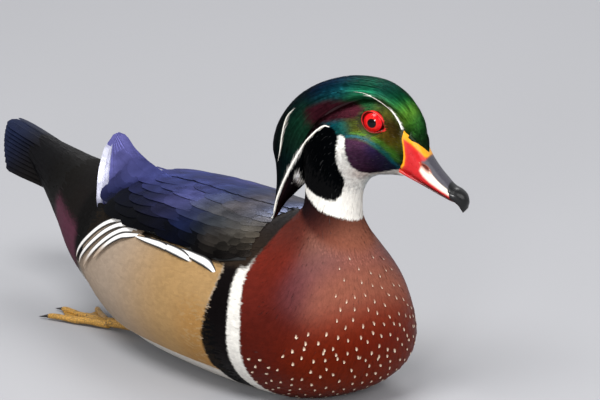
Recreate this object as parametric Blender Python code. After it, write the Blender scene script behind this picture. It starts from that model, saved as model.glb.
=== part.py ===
"""A wood duck drake at life size, resting on its belly as it floats, head turned to its left.

+X runs along the body towards the breast, +Y is the bird's left and +Z is up. The origin is on the floor,
in the middle of the belly's flat. Tables and lengths are in millimetres; meshes are made in metres.
"""

import bmesh
import bpy
import numpy as np

MM = 0.001
GAP = 0.3  # between neighbouring solids

# The body is a loft of flat sections from the tail coverts to the base of the bill. Each section spans the
# profile from a dorsal to a ventral point, with the head still straight.
# name: dorsal x, z, ventral x, z, half width, height share of the widest place, roundness above and below
STATIONS = {
    "covert_tip": (-192, 81.0, -190, 63, 11, 0.40, 1.7, 2.0),
    "covert_mid": (-173, 79.0, -171, 52, 15.5, 0.42, 1.8, 2.0),
    "tail_root": (-150, 77, -148, 34, 22, 0.42, 2.0, 2.0),
    "vent": (-125, 77, -121, 17, 33, 0.48, 2.1, 2.0),
    "rump": (-95, 79, -90, 6, 42, 0.48, 2.2, 2.0),
    "thigh": (-55, 81.5, -50, -3, 52, 0.48, 2.3, 2.0),
    "mid_back": (-12, 84.5, -8, -5, 57, 0.48, 2.3, 2.0),
    "shoulder": (22, 88, 40, -4, 56, 0.45, 2.2, 2.1),
    "black_bar": (33, 90, 74, 0, 51, 0.40, 2.1, 2.2),
    "white_bar": (41, 91, 99, 14, 44, 0.34, 2.0, 2.3),
    "breast": (47, 93.5, 109, 44, 33, 0.40, 2.0, 2.2),
    "upper_breast": (51, 96, 104, 66, 23.5, 0.44, 2.0, 2.1),
    "neck_root": (54.5, 100, 96, 80, 17.5, 0.48, 2.0, 2.0),
    "low_neck": (57, 106, 88.5, 91, 15, 0.50, 2.0, 2.0),
    "mid_neck": (57.5, 114, 87, 101, 14.6, 0.50, 2.0, 2.0),
    "throat": (56.5, 125, 88, 110, 15.4, 0.50, 2.0, 2.0),
    "nape": (56.5, 138, 91.5, 116.5, 16.8, 0.48, 2.0, 2.0),
    "hind_crown": (62, 150.5, 96, 119.4, 17.8, 0.44, 1.9, 2.0),
    "crown": (73.5, 159.5, 99.5, 120.5, 17.8, 0.40, 1.8, 2.0),
    "hind_eye": (87, 165, 102.5, 120.8, 17.0, 0.37, 1.75, 2.0),
    "eye": (98.5, 166.8, 104.5, 120.9, 15.4, 0.37, 1.75, 2.0),
    "brow": (108, 165, 106.5, 120.9, 13.2, 0.37, 1.75, 2.0),
    "forehead": (116, 159.5, 108.5, 120.8, 10.8, 0.38, 1.8, 2.0),
    "lores": (121, 151.5, 110.3, 120.6, 9.0, 0.40, 1.9, 2.0),
    "bill_base": (123, 143.2, 111.8, 120.5, 7.6, 0.45, 2.0, 2.0),
}
NAMES = list(STATIONS)
TABLE = np.array([STATIONS[name] for name in NAMES], float)

HEAD_YAW = 32.0  # degrees to the bird's left
HEAD_PITCH = -25.0  # degrees, bill down
YAW_STARTS, YAW_ENDS = NAMES.index("neck_root"), NAMES.index("nape")
YAW_PIVOT_X = 72.5
EYE_X, EYE_Z = 97.6, 151.0  # midpoint between the eyes, before the turn

# cuts between the flesh nodes, as station numbers
TAIL_CUT, BREAST_CUT, NECK_CUT, HEAD_CUT = 2.4, 8.6, 12.4, 15.5
HEAD_END = len(NAMES) - 1


def spline(table, t):
    """Rows of a table read at fractional row numbers, on a curve through every row."""
    t = np.clip(np.asarray(t, float), 0, len(table) - 1)
    i = np.minimum(t.astype(int), len(table) - 2)
    u = (t - i)[..., None]
    ends = np.vstack([2 * table[0] - table[1], table, 2 * table[-1] - table[-2]])
    a, b, c, d = (ends[i + k] for k in range(4))
    return 0.5 * (2 * b + (c - a) * u + (2 * a - 5 * b + 4 * c - d) * u**2 + (3 * (b - c) + d - a) * u**3)


def smooth(x):
    x = np.clip(x, 0, 1)
    return x * x * (3 - 2 * x)


def turn_head(points, share):
    """Points of the straight-headed bird, turned by a share of the head's yaw."""
    angle = np.radians(HEAD_YAW) * share
    x, y = points[..., 0] - YAW_PIVOT_X, points[..., 1]
    turned = np.array(points, float)
    turned[..., 0] = YAW_PIVOT_X + x * np.cos(angle) - y * np.sin(angle)
    turned[..., 1] = x * np.sin(angle) + y * np.cos(angle)
    return turned


def head_point(a, b, c=0.0):
    """A point in the head's own directions from between the eyes: forward, up, left."""
    a, b, c = np.broadcast_arrays(np.asarray(a, float), b, c)
    pitch = np.radians(HEAD_PITCH)
    x = EYE_X + a * np.cos(pitch) - b * np.sin(pitch)
    z = EYE_Z + a * np.sin(pitch) + b * np.cos(pitch)
    return turn_head(np.stack([x, c, z], -1), 1.0)


def body(t, theta):
    """The bird's surface: t runs from tail to bill, theta from the back (0) round by the left."""
    t, theta = np.broadcast_arrays(np.asarray(t, float), np.asarray(theta, float))
    dx, dz, vx, vz, half, widest, above, below = np.moveaxis(spline(TABLE, t), -1, 0)
    c, s = np.cos(theta), np.sin(theta)
    power = np.where(c >= 0, above, below)
    rise = np.abs(c) ** (2 / power) * np.where(c >= 0, 1 - widest, -widest)
    x = vx + (widest + rise) * (dx - vx)
    z = vz + (widest + rise) * (dz - vz)
    y = half * np.sign(s) * np.abs(s) ** (2 / power)
    share = smooth((t - YAW_STARTS) / (YAW_ENDS - YAW_STARTS))
    points = turn_head(np.stack([x, y, z], -1), share)
    points[..., 2] = np.maximum(points[..., 2], 0)
    return points


def body_normal(t, theta):
    step = 0.02
    along = body(np.asarray(t) + step, theta) - body(np.asarray(t) - step, theta)
    around = body(t, np.asarray(theta) + step) - body(t, np.asarray(theta) - step)
    normal = np.cross(along, around)
    length = np.linalg.norm(normal, axis=-1, keepdims=True)
    return normal / np.maximum(length, 1e-9)


def on_body(t, theta, lift=0.0):
    return body(t, theta) + body_normal(t, theta) * np.asarray(lift, float)[..., None]


def theta_at_height(t, z):
    """The angle on the left side where the body stands at height z."""
    around = np.linspace(0, np.pi, 361)
    heights = body(np.full(361, float(t)), around)[:, 2]
    return float(np.interp(-z, -heights, around))


def section_normal(t):
    """The direction across the flat section at t, towards the bill."""
    down = body(t, np.pi) - body(t, 0.0)
    across = body(t, np.pi / 2) - body(t, -np.pi / 2)
    normal = np.cross(down, across)
    return normal / np.linalg.norm(normal)


# Making meshes

parts = bpy.data.collections.new("wood_duck")


def material(name, color, roughness):
    made = bpy.data.materials.new(name)
    made.use_nodes = True
    shader = made.node_tree.nodes["Principled BSDF"]
    shader.inputs["Base Color"].default_value = (*color, 1)
    shader.inputs["Roughness"].default_value = roughness
    made.diffuse_color = (*color, 1)
    return made


def mesh_object(name, points, faces):
    """An object of these faces, all turned outwards."""
    mesh = bpy.data.meshes.new(name)
    mesh.from_pydata((np.asarray(points) * MM).tolist(), [], [list(map(int, face)) for face in faces])
    work = bmesh.new()
    work.from_mesh(mesh)
    bmesh.ops.recalc_face_normals(work, faces=work.faces)
    if work.calc_volume(signed=True) < 0:
        bmesh.ops.reverse_faces(work, faces=work.faces)
    work.to_mesh(mesh)
    work.free()
    obj = bpy.data.objects.new(name, mesh)
    bpy.context.scene.collection.objects.link(obj)
    return obj


def ring_object(name, rings):
    """A closed solid through rings of points, with a fan at each end."""
    rows, around, _ = rings.shape
    points = np.vstack([rings.reshape(-1, 3), rings[0].mean(0), rings[-1].mean(0)])
    first, last = rows * around, rows * around + 1
    faces = []
    for j in range(around):
        k = (j + 1) % around
        faces.append((first, k, j))
        faces.append((last, last - 1 - around + j, last - 1 - around + k))
        for i in range(rows - 1):
            a, b = i * around + j, i * around + k
            faces.append((a, b, b + around, a + around))
    return mesh_object(name, points, faces)


def shell_object(name, inner, outer):
    """A closed solid between two grids of points, both split into the same triangles."""
    rows, cols, _ = inner.shape
    count = rows * cols
    index = np.arange(count).reshape(rows, cols)
    faces = []
    for i in range(rows - 1):
        for j in range(cols - 1):
            a, b, c, d = index[i, j], index[i, j + 1], index[i + 1, j + 1], index[i + 1, j]
            halves = ((a, b, c), (a, c, d)) if (i + j) % 2 else ((a, b, d), (b, c, d))
            for face in halves:
                faces.append(face)
                faces.append([corner + count for corner in reversed(face)])
    border = [*index[0], *index[1:, -1], *index[-1, -2::-1], *index[-2:0:-1, 0]]
    for a, b in zip(border, border[1:] + border[:1]):
        faces.append((b, a, a + count))
        faces.append((b, a + count, b + count))
    return mesh_object(name, np.vstack([inner.reshape(-1, 3), outer.reshape(-1, 3)]), faces)


# feather shapes from root (0) to tip (1): share of the half width
LEAF = [(0, 0.55), (0.3, 0.95), (0.6, 1.0), (0.84, 0.74), (1, 0.16)]
BLADE = [(0, 0.6), (0.3, 1.0), (0.6, 0.9), (0.84, 0.6), (1, 0.14)]
PADDLE = [(0, 0.5), (0.3, 0.85), (0.6, 1.0), (0.84, 0.95), (1, 0.4)]
THICKNESS = [(0, 0.8), (0.3, 0.6), (0.84, 0.5), (1, 0.3)]  # in millimetres


def vane_shares(steps):
    """Shares of a feather's length, closer together towards the tip."""
    even = np.linspace(0, 1, steps)
    return even + 0.1 * np.sin(np.pi * even)


def vane(path, up, half, shape=LEAF, camber=0.07):
    """A flat tapered feather along a path with vane_shares steps, its face turned to the up directions.

    The camber is how far its shaft stands over its edges, as a share of the half width.
    """
    path, up = np.asarray(path, float), np.asarray(up, float)
    shares = vane_shares(len(path))
    along = np.gradient(path, axis=0)
    across = np.cross(up, along)
    across /= np.linalg.norm(across, axis=1, keepdims=True)
    up = np.cross(along, across)
    up /= np.linalg.norm(up, axis=1, keepdims=True)
    wide = (half * np.interp(shares, *zip(*shape)))[:, None, None]
    thick = np.interp(shares, *zip(*THICKNESS))[:, None, None]
    edge = np.array([-1.0, 0.0, 1.0])[None, :, None]
    top = path[:, None] + across[:, None] * wide * edge - up[:, None] * wide * camber * edge**2
    return shell_object("vane", top - up[:, None] * thick, top)


def boolean(target, others, operation, solver="EXACT"):
    """Joins or cuts the target with closed meshes, removes them and keeps its largest closed surface."""
    cutters = bpy.data.collections.new("cutters")
    bpy.context.scene.collection.children.link(cutters)
    for other in others:
        bpy.context.scene.collection.objects.unlink(other)
        cutters.objects.link(other)
    modifier = target.modifiers.new(operation.lower(), "BOOLEAN")
    modifier.operation = operation
    modifier.operand_type = "COLLECTION"
    modifier.collection = cutters
    modifier.solver = solver
    bpy.context.view_layer.update()
    result = bpy.data.meshes.new_from_object(target.evaluated_get(bpy.context.evaluated_depsgraph_get()))
    target.modifiers.clear()
    target.data = result
    for other in others:
        bpy.data.objects.remove(other)
    bpy.data.collections.remove(cutters)
    keep_largest(target)


def keep_largest(obj):
    work = bmesh.new()
    work.from_mesh(obj.data)
    bmesh.ops.remove_doubles(work, verts=work.verts, dist=1e-8)
    unseen = set(work.faces)
    surfaces = []
    while unseen:
        surface, queue = [], [unseen.pop()]
        while queue:
            face = queue.pop()
            surface.append(face)
            for edge in face.edges:
                for other in edge.link_faces:
                    if other in unseen:
                        unseen.discard(other)
                        queue.append(other)
        surfaces.append(surface)
    surfaces.sort(key=lambda surface: sum(face.calc_area() for face in surface))
    dropped = [face for surface in surfaces[:-1] for face in surface]
    bmesh.ops.delete(work, geom=dropped, context="FACES")
    work.to_mesh(obj.data)
    work.free()


def thin_out(obj, ratio):
    """Collapses the short edges that unions leave, down to a share of the faces."""
    work = bmesh.new()
    work.from_mesh(obj.data)
    bmesh.ops.triangulate(work, faces=work.faces)
    work.to_mesh(obj.data)
    work.free()
    modifier = obj.modifiers.new("thin out", "DECIMATE")
    modifier.ratio = ratio
    bpy.context.view_layer.update()
    result = bpy.data.meshes.new_from_object(obj.evaluated_get(bpy.context.evaluated_depsgraph_get()))
    obj.modifiers.clear()
    obj.data = result


def finish(obj, look):
    """Puts a finished solid in the part's collection with its material."""
    obj.data.materials.clear()
    obj.data.materials.append(look)
    bpy.context.scene.collection.objects.unlink(obj)
    parts.objects.link(obj)
    return obj


def mirrored(points, side):
    return points * np.array([1, side, 1])


SIDES = {"left": 1, "right": -1}


# The flesh: tail root, torso, breast, neck and head

def flesh_object(name, start, end, rows, around, lift=0.0):
    """A length of the body between two cuts, each held half a gap back."""
    stations = np.linspace(start, end, rows)
    angles = np.linspace(0, 2 * np.pi, around, endpoint=False)
    t, theta = np.meshgrid(stations, angles, indexing="ij")
    rings = on_body(t, theta, lift) if lift else body(t, theta)
    if start > 0:
        rings[0] += section_normal(start) * (GAP / 2 - lift)
    if end < HEAD_END:
        rings[-1] -= section_normal(end) * (GAP / 2 - lift)
    return ring_object(name, rings)


# The bill, in the head's directions: top a, b, mouth line a, b, half width, roundness
BILL_UPPER = np.array([
    (16.3, 3.0, 21.5, -17.0, 10.0, 3.6),
    (21.5, 0.8, 24.0, -17.2, 9.8, 3.2),
    (27.0, -1.6, 28.0, -17.5, 9.2, 2.7),
    (33.0, -5.0, 32.5, -17.8, 8.2, 2.3),
    (39.0, -8.2, 38.0, -18.1, 7.2, 2.2),
    (45.0, -11.3, 43.5, -18.4, 6.4, 2.2),
    (51.0, -14.0, 49.0, -18.8, 5.9, 2.2),
    (56.0, -16.1, 54.0, -19.5, 5.4, 2.2),
    (60.2, -18.2, 57.8, -21.2, 4.4, 2.1),
    (62.0, -21.0, 60.4, -23.4, 2.0, 2.0),
])
BILL_LOWER = np.array([
    (22.0, -17.6, 23.5, -20.8, 8.0, 3.0),
    (28.0, -17.9, 29.0, -21.4, 7.6, 2.6),
    (34.0, -18.2, 34.5, -21.2, 6.9, 2.4),
    (40.0, -18.6, 40.5, -21.2, 6.0, 2.2),
    (46.0, -19.1, 46.3, -21.3, 5.2, 2.2),
    (52.0, -19.9, 52.2, -21.6, 4.2, 2.2),
    (55.6, -20.9, 55.6, -22.0, 2.4, 2.0),
])
NOSTRIL = (33.0, -9.4, 7.4)  # forward, up, out


def bill_rings(table, rows, around, grow=0.0):
    """Sections of the bill, widest near the mouth line; grown outwards by a clearance if asked."""
    angles = np.linspace(0, 2 * np.pi, around, endpoint=False)
    ta, tb, ba, bb, half, power = spline(table, np.linspace(0, len(table) - 1, rows)).T[..., None]
    c, s = np.cos(angles), np.sin(angles)
    top_share = np.where(c > 0, 0.68, 0.32)
    up = 0.32 + np.sign(c) * np.abs(c) ** (2 / power) * top_share
    side = np.sign(s) * np.abs(s) ** (2 / power)
    length = np.hypot(ta - ba, tb - bb)
    up = up + grow * np.sign(c) * np.abs(c) / length
    return head_point(ba + up * (ta - ba), bb + up * (tb - bb), side * (half + grow))


def bill_object(name, table, rows, grow=0.0):
    rings = bill_rings(table, rows, 16, grow)
    back = head_point(-1.0, 0.0) - head_point(0.0, 0.0)
    rings[0] += back * grow
    rings[-1] -= back * grow
    return ring_object(name, rings)


def nostril_cutter(side):
    """A slanting slot that opens on the side of the bill's ridge."""
    along = np.linspace(-1, 1, 5)
    middle = head_point(NOSTRIL[0] + 2.6 * along, NOSTRIL[1] - 1.3 * along, side * NOSTRIL[2])
    rings = tube_rings(middle, 1.3 * np.sqrt(np.maximum(1 - along**2, 0.05)), 8)
    return ring_object("nostril", rings)


# The eyes and their lids
EYE_RADIUS = 6.8
EYE_OUT = 7.6  # how far each eyeball's centre is from the head's middle plane
LID_INNER, LID_OUTER = EYE_RADIUS + GAP, EYE_RADIUS + 1.7
LID_OPENING, LID_EDGE = 43.0, 66.0  # degrees from the eye's axis


def turned(profile, side, steps):
    """Rings of a profile (distance out, radius) turned about an eye's axis."""
    angle = np.linspace(0, 2 * np.pi, steps, endpoint=False)
    return np.array([
        head_point(radius * np.cos(angle), radius * np.sin(angle), side * (EYE_OUT + out))
        for out, radius in profile
    ])


def arc(radius, start, end, steps):
    angles = np.radians(np.linspace(start, end, steps))
    return [(radius * np.cos(angle), radius * np.sin(angle)) for angle in angles]


def socket_cutter(side):
    """The room for an eyeball and its lid, with a gap round both."""
    profile = arc(LID_INNER + 0.15, 174, LID_EDGE + 3, 6)
    profile += arc(LID_OUTER + GAP, LID_EDGE + 3, 30, 3)
    profile.append((profile[-1][0] + 6.0, profile[-1][1] + 1.0))
    return ring_object("socket", turned(profile, side, 16))


def eyeball(name, side):
    work = bmesh.new()
    bmesh.ops.create_uvsphere(work, u_segments=14, v_segments=8, radius=EYE_RADIUS * MM)
    mesh = bpy.data.meshes.new(name)
    work.to_mesh(mesh)
    work.free()
    obj = bpy.data.objects.new(name, mesh)
    bpy.context.scene.collection.objects.link(obj)
    obj.location = head_point(0, 0, side * EYE_OUT) * MM
    return obj


def eyelid(name, side):
    """A ring of bare skin round the eye, a slice of a shell about the eyeball."""
    steps = 16
    angle = np.linspace(0, 2 * np.pi, steps, endpoint=False)
    almond = 1.0 + 0.13 * np.cos(2 * angle)
    rings = []
    opening = np.radians(LID_OPENING) * almond
    edge = np.full(steps, np.radians(LID_EDGE))
    loop = [(LID_INNER, edge), (LID_INNER, opening), (LID_OUTER - 0.4, opening),
            (LID_OUTER, opening + 0.07), (LID_OUTER, edge)]
    for radius, reach in loop:
        out, wide = radius * np.cos(reach), radius * np.sin(reach)
        rings.append(head_point(wide * np.cos(angle), wide * np.sin(angle), side * (EYE_OUT + out)))
    points = np.array(rings).reshape(-1, 3)
    faces = []
    for i in range(len(loop)):
        for j in range(steps):
            k, n = (j + 1) % steps, (i + 1) % len(loop)
            faces.append((i * steps + j, i * steps + k, n * steps + k, n * steps + j))
    return mesh_object(name, points, faces)


# The crest, in the head's directions: outer a, b, inner a, b, half width
CREST = np.array([
    (25.0, 1.6, 23.0, 0.0, 3.0),
    (20.2, 8.0, 16.5, 3.0, 6.4),
    (12.4, 14.2, 9.0, 6.5, 9.0),
    (2.3, 17.0, 0.0, 7.6, 10.6),
    (-8.8, 16.0, -7.5, 5.0, 12.2),
    (-22.9, 9.8, -14.0, -3.0, 13.8),
    (-35.4, -1.2, -18.0, -12.0, 14.0),
    (-43.3, -14.3, -20.0, -21.0, 13.0),
    (-46.3, -29.5, -21.0, -31.0, 11.4),
    (-44.2, -42.5, -20.0, -41.0, 9.8),
    (-38.8, -50.5, -20.0, -51.0, 8.0),
    (-34.6, -58.5, -22.5, -59.5, 6.0),
    (-30.5, -69.0, -25.5, -68.5, 3.6),
    (-28.0, -77.5, -26.4, -77.0, 1.2),
])


CREST_CORE_END = 8.9  # the core under the crest feathers stops here, in rows of the table
CREST_CORE_SINK = 1.9
# tiers of crest feathers: first and last row of the table, feathers, widest angle from the ridge in degrees
CREST_TIERS = [
    (0.0, 3.6, 3, 42),
    (2.0, 6.2, 4, 66),
    (4.4, 8.8, 5, 84),
    (6.4, 11.0, 5, 96),
    (7.4, 12.2, 6, 150),
    (8.2, 13.0, 3, 70),
]


def crest_surface(row, angle):
    """The crest's outer form, at a row of the table and an angle from its ridge round by the left."""
    row, angle = np.broadcast_arrays(np.asarray(row, float), np.asarray(angle, float))
    oa, ob, ia, ib, half = np.moveaxis(spline(CREST, row), -1, 0)
    c, s = np.cos(angle), np.sin(angle)
    up = 0.5 + 0.5 * np.sign(c) * np.abs(c) ** (2 / 2.1)
    side = np.sign(s) * np.abs(s) ** (2 / 2.1)
    return head_point(ia + up * (oa - ia), ib + up * (ob - ib), side * half)


def crest_normal(row, angle):
    step = 0.03
    along = crest_surface(row + step, angle) - crest_surface(row - step, angle)
    around = crest_surface(row, angle + step) - crest_surface(row, angle - step)
    normal = np.cross(around, along)
    return normal / np.linalg.norm(normal, axis=-1, keepdims=True)


def crest_core():
    rows, angles = np.meshgrid(np.linspace(0.5, CREST_CORE_END, 14), np.linspace(0, 2 * np.pi, 14, endpoint=False),
                               indexing="ij")
    shrink = CREST_CORE_SINK + 3.0 * smooth((rows - CREST_CORE_END + 1.2) / 1.2)
    return ring_object("crest", crest_surface(rows, angles) - crest_normal(rows, angles) * shrink[..., None])


def crest_vanes():
    vanes = []
    for tier, (start, end, count, spread) in enumerate(CREST_TIERS):
        for angle in np.radians(np.linspace(-spread, spread, count)):
            shares = vane_shares(5)
            rows = start + (end - start) * shares + 0.12 * np.cos(5 * angle + tier)
            rows = np.clip(rows, 0.05, len(CREST) - 1.05)
            around = np.full(len(rows), angle)
            up = crest_normal(rows, around)
            lift = (1 - shares) * (-CREST_CORE_SINK - 1.1)
            path = crest_surface(rows, around) + up * lift[:, None]
            reach = 2 * np.radians(spread) / (count - 1)
            room = np.linalg.norm(crest_surface(rows, around + reach / 2) - crest_surface(rows, around - reach / 2), axis=1)
            vanes.append(vane(path, up, 0.42 * room, LEAF, 0.12))
    return vanes


def crest_object():
    """Long feathers in tiers over a core, kept clear of the head and neck."""
    crest = crest_core()
    boolean(crest, crest_vanes(), "UNION")
    boolean(crest, [flesh_object("room", 12.0, HEAD_END, 30, 40, PAD_LIFT)], "DIFFERENCE")
    thin_out(crest, 0.72)
    return crest


# Wings, flanks, tail, legs and feet
PAD_LIFT = 0.55  # the wing pads stand off the curved hull by a little over the gap
FLANK_LIFT = 1.0
WING_FRONT, WING_BACK = 8.45, 3.9  # station numbers
WING_EDGE = [(-95, 70), (-50, 68.5), (-10, 70.5), (32, 69.5), (50, 73)]  # x, z of the folded wing's lower edge
FLANK_FRONT, FLANK_BACK, FLANK_CORE_BACK = 7.15, 3.6, 4.4
FLANK_KEEL = 13.0  # height where the flank feathers end under the hull


def wing_edge_angle(t):
    x = float(body(t, np.pi / 4)[0])
    heights = np.interp(x, [p[0] for p in WING_EDGE], [p[1] for p in WING_EDGE])
    return theta_at_height(t, heights)


def wing_angle(t, share):
    """The angle at a share of the way from the back's middle to the folded wing's lower edge."""
    top = 0.8 / float(spline(TABLE, np.array(t))[4])
    return top + (wing_edge_angle(t) - top) * share


def wing_core(name, side):
    share = np.linspace(0, 1, 6)
    inner, outer = [], []
    for t in np.linspace(WING_CORE_BACK, WING_FRONT, 11):
        angles = np.array([wing_angle(t, part) for part in share])
        full = WING_CORE * smooth((WING_FRONT - t) / 1.2 + 0.25) * (1.0 - 0.35 * share)
        inner.append(on_body(np.full(6, t), angles, np.full(6, PAD_LIFT)))
        outer.append(on_body(np.full(6, t), angles, PAD_LIFT + np.maximum(full, 0.8)))
    return shell_object(name, mirrored(np.array(inner), side), mirrored(np.array(outer), side))


def body_vane(side, stations, angles, lifts, half):
    """A feather laid along the body between stations and angles, rising over its length."""
    shares = vane_shares(4)
    t, theta, lift = (np.interp(shares, [0, 1], ends) for ends in (stations, angles, lifts))
    path = on_body(t, theta, lift)
    return vane(mirrored(path, side), mirrored(body_normal(t, theta), side), half)


def wing_vanes(side):
    vanes = []
    for root, tip, shares, lifts, half in WING_TIERS:
        for k, share in enumerate(shares):
            shift = 0.10 * np.cos(2.2 * k + 3 * root)
            angles = wing_angle(root + shift, share), wing_angle(tip + shift, share)
            lift = (lifts[0], lifts[1] * (1 - 0.3 * share))
            vanes.append(body_vane(side, (root + shift, tip + shift), angles, lift, half))
    for k in range(PRIMARIES):
        share = (k + 0.7) / PRIMARIES
        steps = 4 * vane_shares(5) ** 1.1
        upper, lower = spline(TIP_UPPER, steps), spline(TIP_LOWER, steps)
        path = upper + (lower - upper) * share - np.array([-1.6, 0, 1.0]) * PRIMARY_STEP * k
        path[0] = on_body(4.95, wing_angle(4.95, 0.12 + 0.7 * share), PAD_LIFT + 2.1 - 0.2 * k)
        up = np.cross(lower - upper, np.gradient(path, axis=0))
        up /= np.linalg.norm(up, axis=1, keepdims=True)
        up[0] = body_normal(4.95, wing_angle(4.95, share))
        vanes.append(vane(mirrored(path, side), mirrored(up, side), 5.6 - 0.4 * k, BLADE, 0.03))
    return vanes


# The wing tip's upper and lower edge as x, y, z, from inside the wing to the tip, on the left
TIP_UPPER = np.array([(-62, 3.5, 84.5), (-80, 3.2, 86.5), (-95, 3.0, 89.5), (-106, 3.0, 94), (-114, 3.4, 99.2)])
TIP_LOWER = np.array([(-70, 34, 76.5), (-88, 31.5, 75.5), (-100, 24, 82.5), (-109, 13, 92.5), (-115.5, 5.0, 99.6)])
PRIMARIES = 5
PRIMARY_STEP = 0.8  # from each to the next one under it
WING_CORE = 2.6  # thickness under the feathers
WING_CORE_BACK = 4.7
# tiers on the folded wing: root and tip station, shares from the back to the edge, lift at root and tip, half width
WING_TIERS = [
    (8.25, 6.95, (0.16, 0.46, 0.75), (2.2, 4.8), 7.0),
    (7.40, 5.95, (0.16, 0.46, 0.76), (2.2, 5.9), 7.0),
    (6.50, 5.00, (0.16, 0.46, 0.76), (2.2, 6.1), 7.0),
    (5.60, 4.10, (0.16, 0.45, 0.76), (2.2, 6.1), 6.6),
]


FLANK_CORE = 1.9  # thickness under the feathers
# rows of long flank feathers: share from the wing's edge down to the keel, root stations, length in stations,
# half width, rise at the tip
FLANK_ROWS = [
    (0.16, (7.10, 6.40, 5.7, 5.0), 1.05, 6.2, 3.8),
    (0.40, (6.75, 6.0, 5.2), 1.05, 6.6, 4.0),
    (0.64, (6.2, 5.3), 1.0, 6.6, 3.6),
]


def flank_angle(t, share):
    top = wing_edge_angle(t) + 0.012
    low = theta_at_height(t, FLANK_KEEL)
    along = (t - FLANK_BACK) / (FLANK_FRONT - FLANK_BACK)
    return top + (low - top) * (0.45 + 0.55 * smooth(along / 0.35)) * share


def flank_core(name, side):
    share = np.linspace(0, 1, 6)
    inner, outer = [], []
    for t in np.linspace(FLANK_CORE_BACK, FLANK_FRONT, 11):
        angles = np.array([flank_angle(t, part) for part in share])
        rise = np.sin(np.pi * (0.25 + 0.65 * share))
        full = FLANK_CORE * rise * smooth((FLANK_FRONT - t) / 0.7 + 0.25)
        inner.append(on_body(np.full(6, t), angles, np.full(6, FLANK_LIFT)))
        outer.append(on_body(np.full(6, t), angles, FLANK_LIFT + np.maximum(full, 0.8)))
    return shell_object(name, mirrored(np.array(inner), side), mirrored(np.array(outer), side))


def flank_vanes(side):
    vanes = []
    for share, roots, length, half, rise in FLANK_ROWS:
        for k, root in enumerate(roots):
            tip = root - length
            angles = flank_angle(root, share + 0.05), flank_angle(tip, share)
            lifts = FLANK_LIFT + 1.1, FLANK_LIFT + rise - 0.15 * np.cos(2 * k)
            vanes.append(body_vane(side, (root, tip), angles, lifts, half))
    return vanes


# The tail: its ridge's x and z
TAIL_RIDGE = np.array([(-146, 75.0), (-166, 77.4), (-186, 80.4), (-200, 82.6), (-212, 84.2)])
TAIL_FEATHERS = 7  # on each side
TAIL_STACK, TAIL_SHIFT = 0.85, 0.95  # from each feather to the next one out: down through the stack and sideways
TAIL_CORE_START = 0.75  # the core stops here, and the coverts' tips reach on
COVERT_TIERS = [(2.1, 0.75, 7), (1.5, 0.05, 7)]  # root and tip station, feathers all round


def tail_vanes():
    vanes = []
    for side in SIDES.values():
        drop = 0.0
        for k in range(TAIL_FEATHERS):
            reach = vane_shares(4)
            x, z = spline(TAIL_RIDGE, 4 * reach).T
            half = 4.6 + 0.1 * k
            slope = np.radians(20 + 2.5 * k)
            if k:
                drop += TAIL_SHIFT * np.tan(slope) + TAIL_STACK / np.cos(slope)
            y = 0.25 + half + (0.4 + 0.6 * reach) * TAIL_SHIFT * k
            z = z - half * np.sin(slope) - drop * (0.8 + 0.2 * reach)
            x = x + 1.5 * k * reach
            up = np.tile([0.0, np.sin(slope), np.cos(slope)], (len(reach), 1))
            path = np.stack([x, y, z], -1)
            vanes.append(vane(mirrored(path, side), mirrored(up, side), half, PADDLE, 0.03))
    return vanes


def covert_vanes():
    vanes = []
    for start, end, count in COVERT_TIERS:
        for k in range(count):
            angle = 2 * np.pi * (k + 0.5 * (start > 2)) / count
            shares = vane_shares(4)
            t = start + (end - start) * shares
            theta = np.full(4, angle)
            lift = -2.4 + 2.7 * shares
            room = np.linalg.norm(body(t, theta + np.pi / count) - body(t, theta - np.pi / count), axis=1)
            vanes.append(vane(on_body(t, theta, lift), body_normal(t, theta), 0.45 * room))
    return vanes


def tail_object():
    tail = flesh_object("tail", TAIL_CORE_START, TAIL_CUT, 8, 20)
    return tail


# A leg folded back under the hull, and its foot flat behind it: x, y, z, radius
SHANK = np.array([(-52, 21, 8.0, 5.5), (-64, 22.5, 7.2, 3.8), (-78, 24.5, 5.8, 2.8), (-92, 27, 4.4, 2.5)])
TOE_ROOT = (-92.4, 27.1, 3.2)
TOES = {  # direction in degrees from straight back, length
    "inner": (-24, 38),
    "middle": (2, 47),
    "outer": (24, 43),
}
SOLE = 0.4  # the feet hang just clear of the floor


def tube_rings(path, radius, around):
    """Rings of a tube along a path, each square to it."""
    path = np.asarray(path, float)
    along = np.gradient(path, axis=0)
    along /= np.linalg.norm(along, axis=1, keepdims=True)
    across = np.cross(along, (0, 0, 1.0))
    across /= np.linalg.norm(across, axis=1, keepdims=True)
    up = np.cross(across, along)
    angle = np.linspace(0, 2 * np.pi, around, endpoint=False)[None, :, None]
    ring = np.cos(angle) * across[:, None] + np.sin(angle) * up[:, None]
    return path[:, None] + np.asarray(radius, float)[:, None, None] * ring


def shank(name, side, grow=0.0):
    table = spline(SHANK, np.linspace(0, len(SHANK) - 1, 8))
    rings = tube_rings(table[:, :3], table[:, 3] + grow, 10)
    rings[-1] += (table[-1, :3] - table[-2, :3]) * grow / 5
    rings[..., 2] = np.maximum(rings[..., 2], SOLE)
    return ring_object(name, mirrored(rings, side))


def leg_object(name, side):
    leg = shank(name, side)
    boolean(leg, [flesh_object("room", 3.0, 7.0, 22, 48, PAD_LIFT)], "DIFFERENCE")
    return leg


def toe_path(direction, length, steps):
    angle = np.radians(direction)
    share = np.linspace(0, 1, steps)[:, None]
    reach = np.array([-np.cos(angle), np.sin(angle), 0])
    path = np.array(TOE_ROOT) + share * length * reach
    path[:, 2] = SOLE + 2.7 - 1.3 * share[:, 0] + 0.5 * np.sin(2 * np.pi * share[:, 0]) ** 2
    return path


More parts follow.
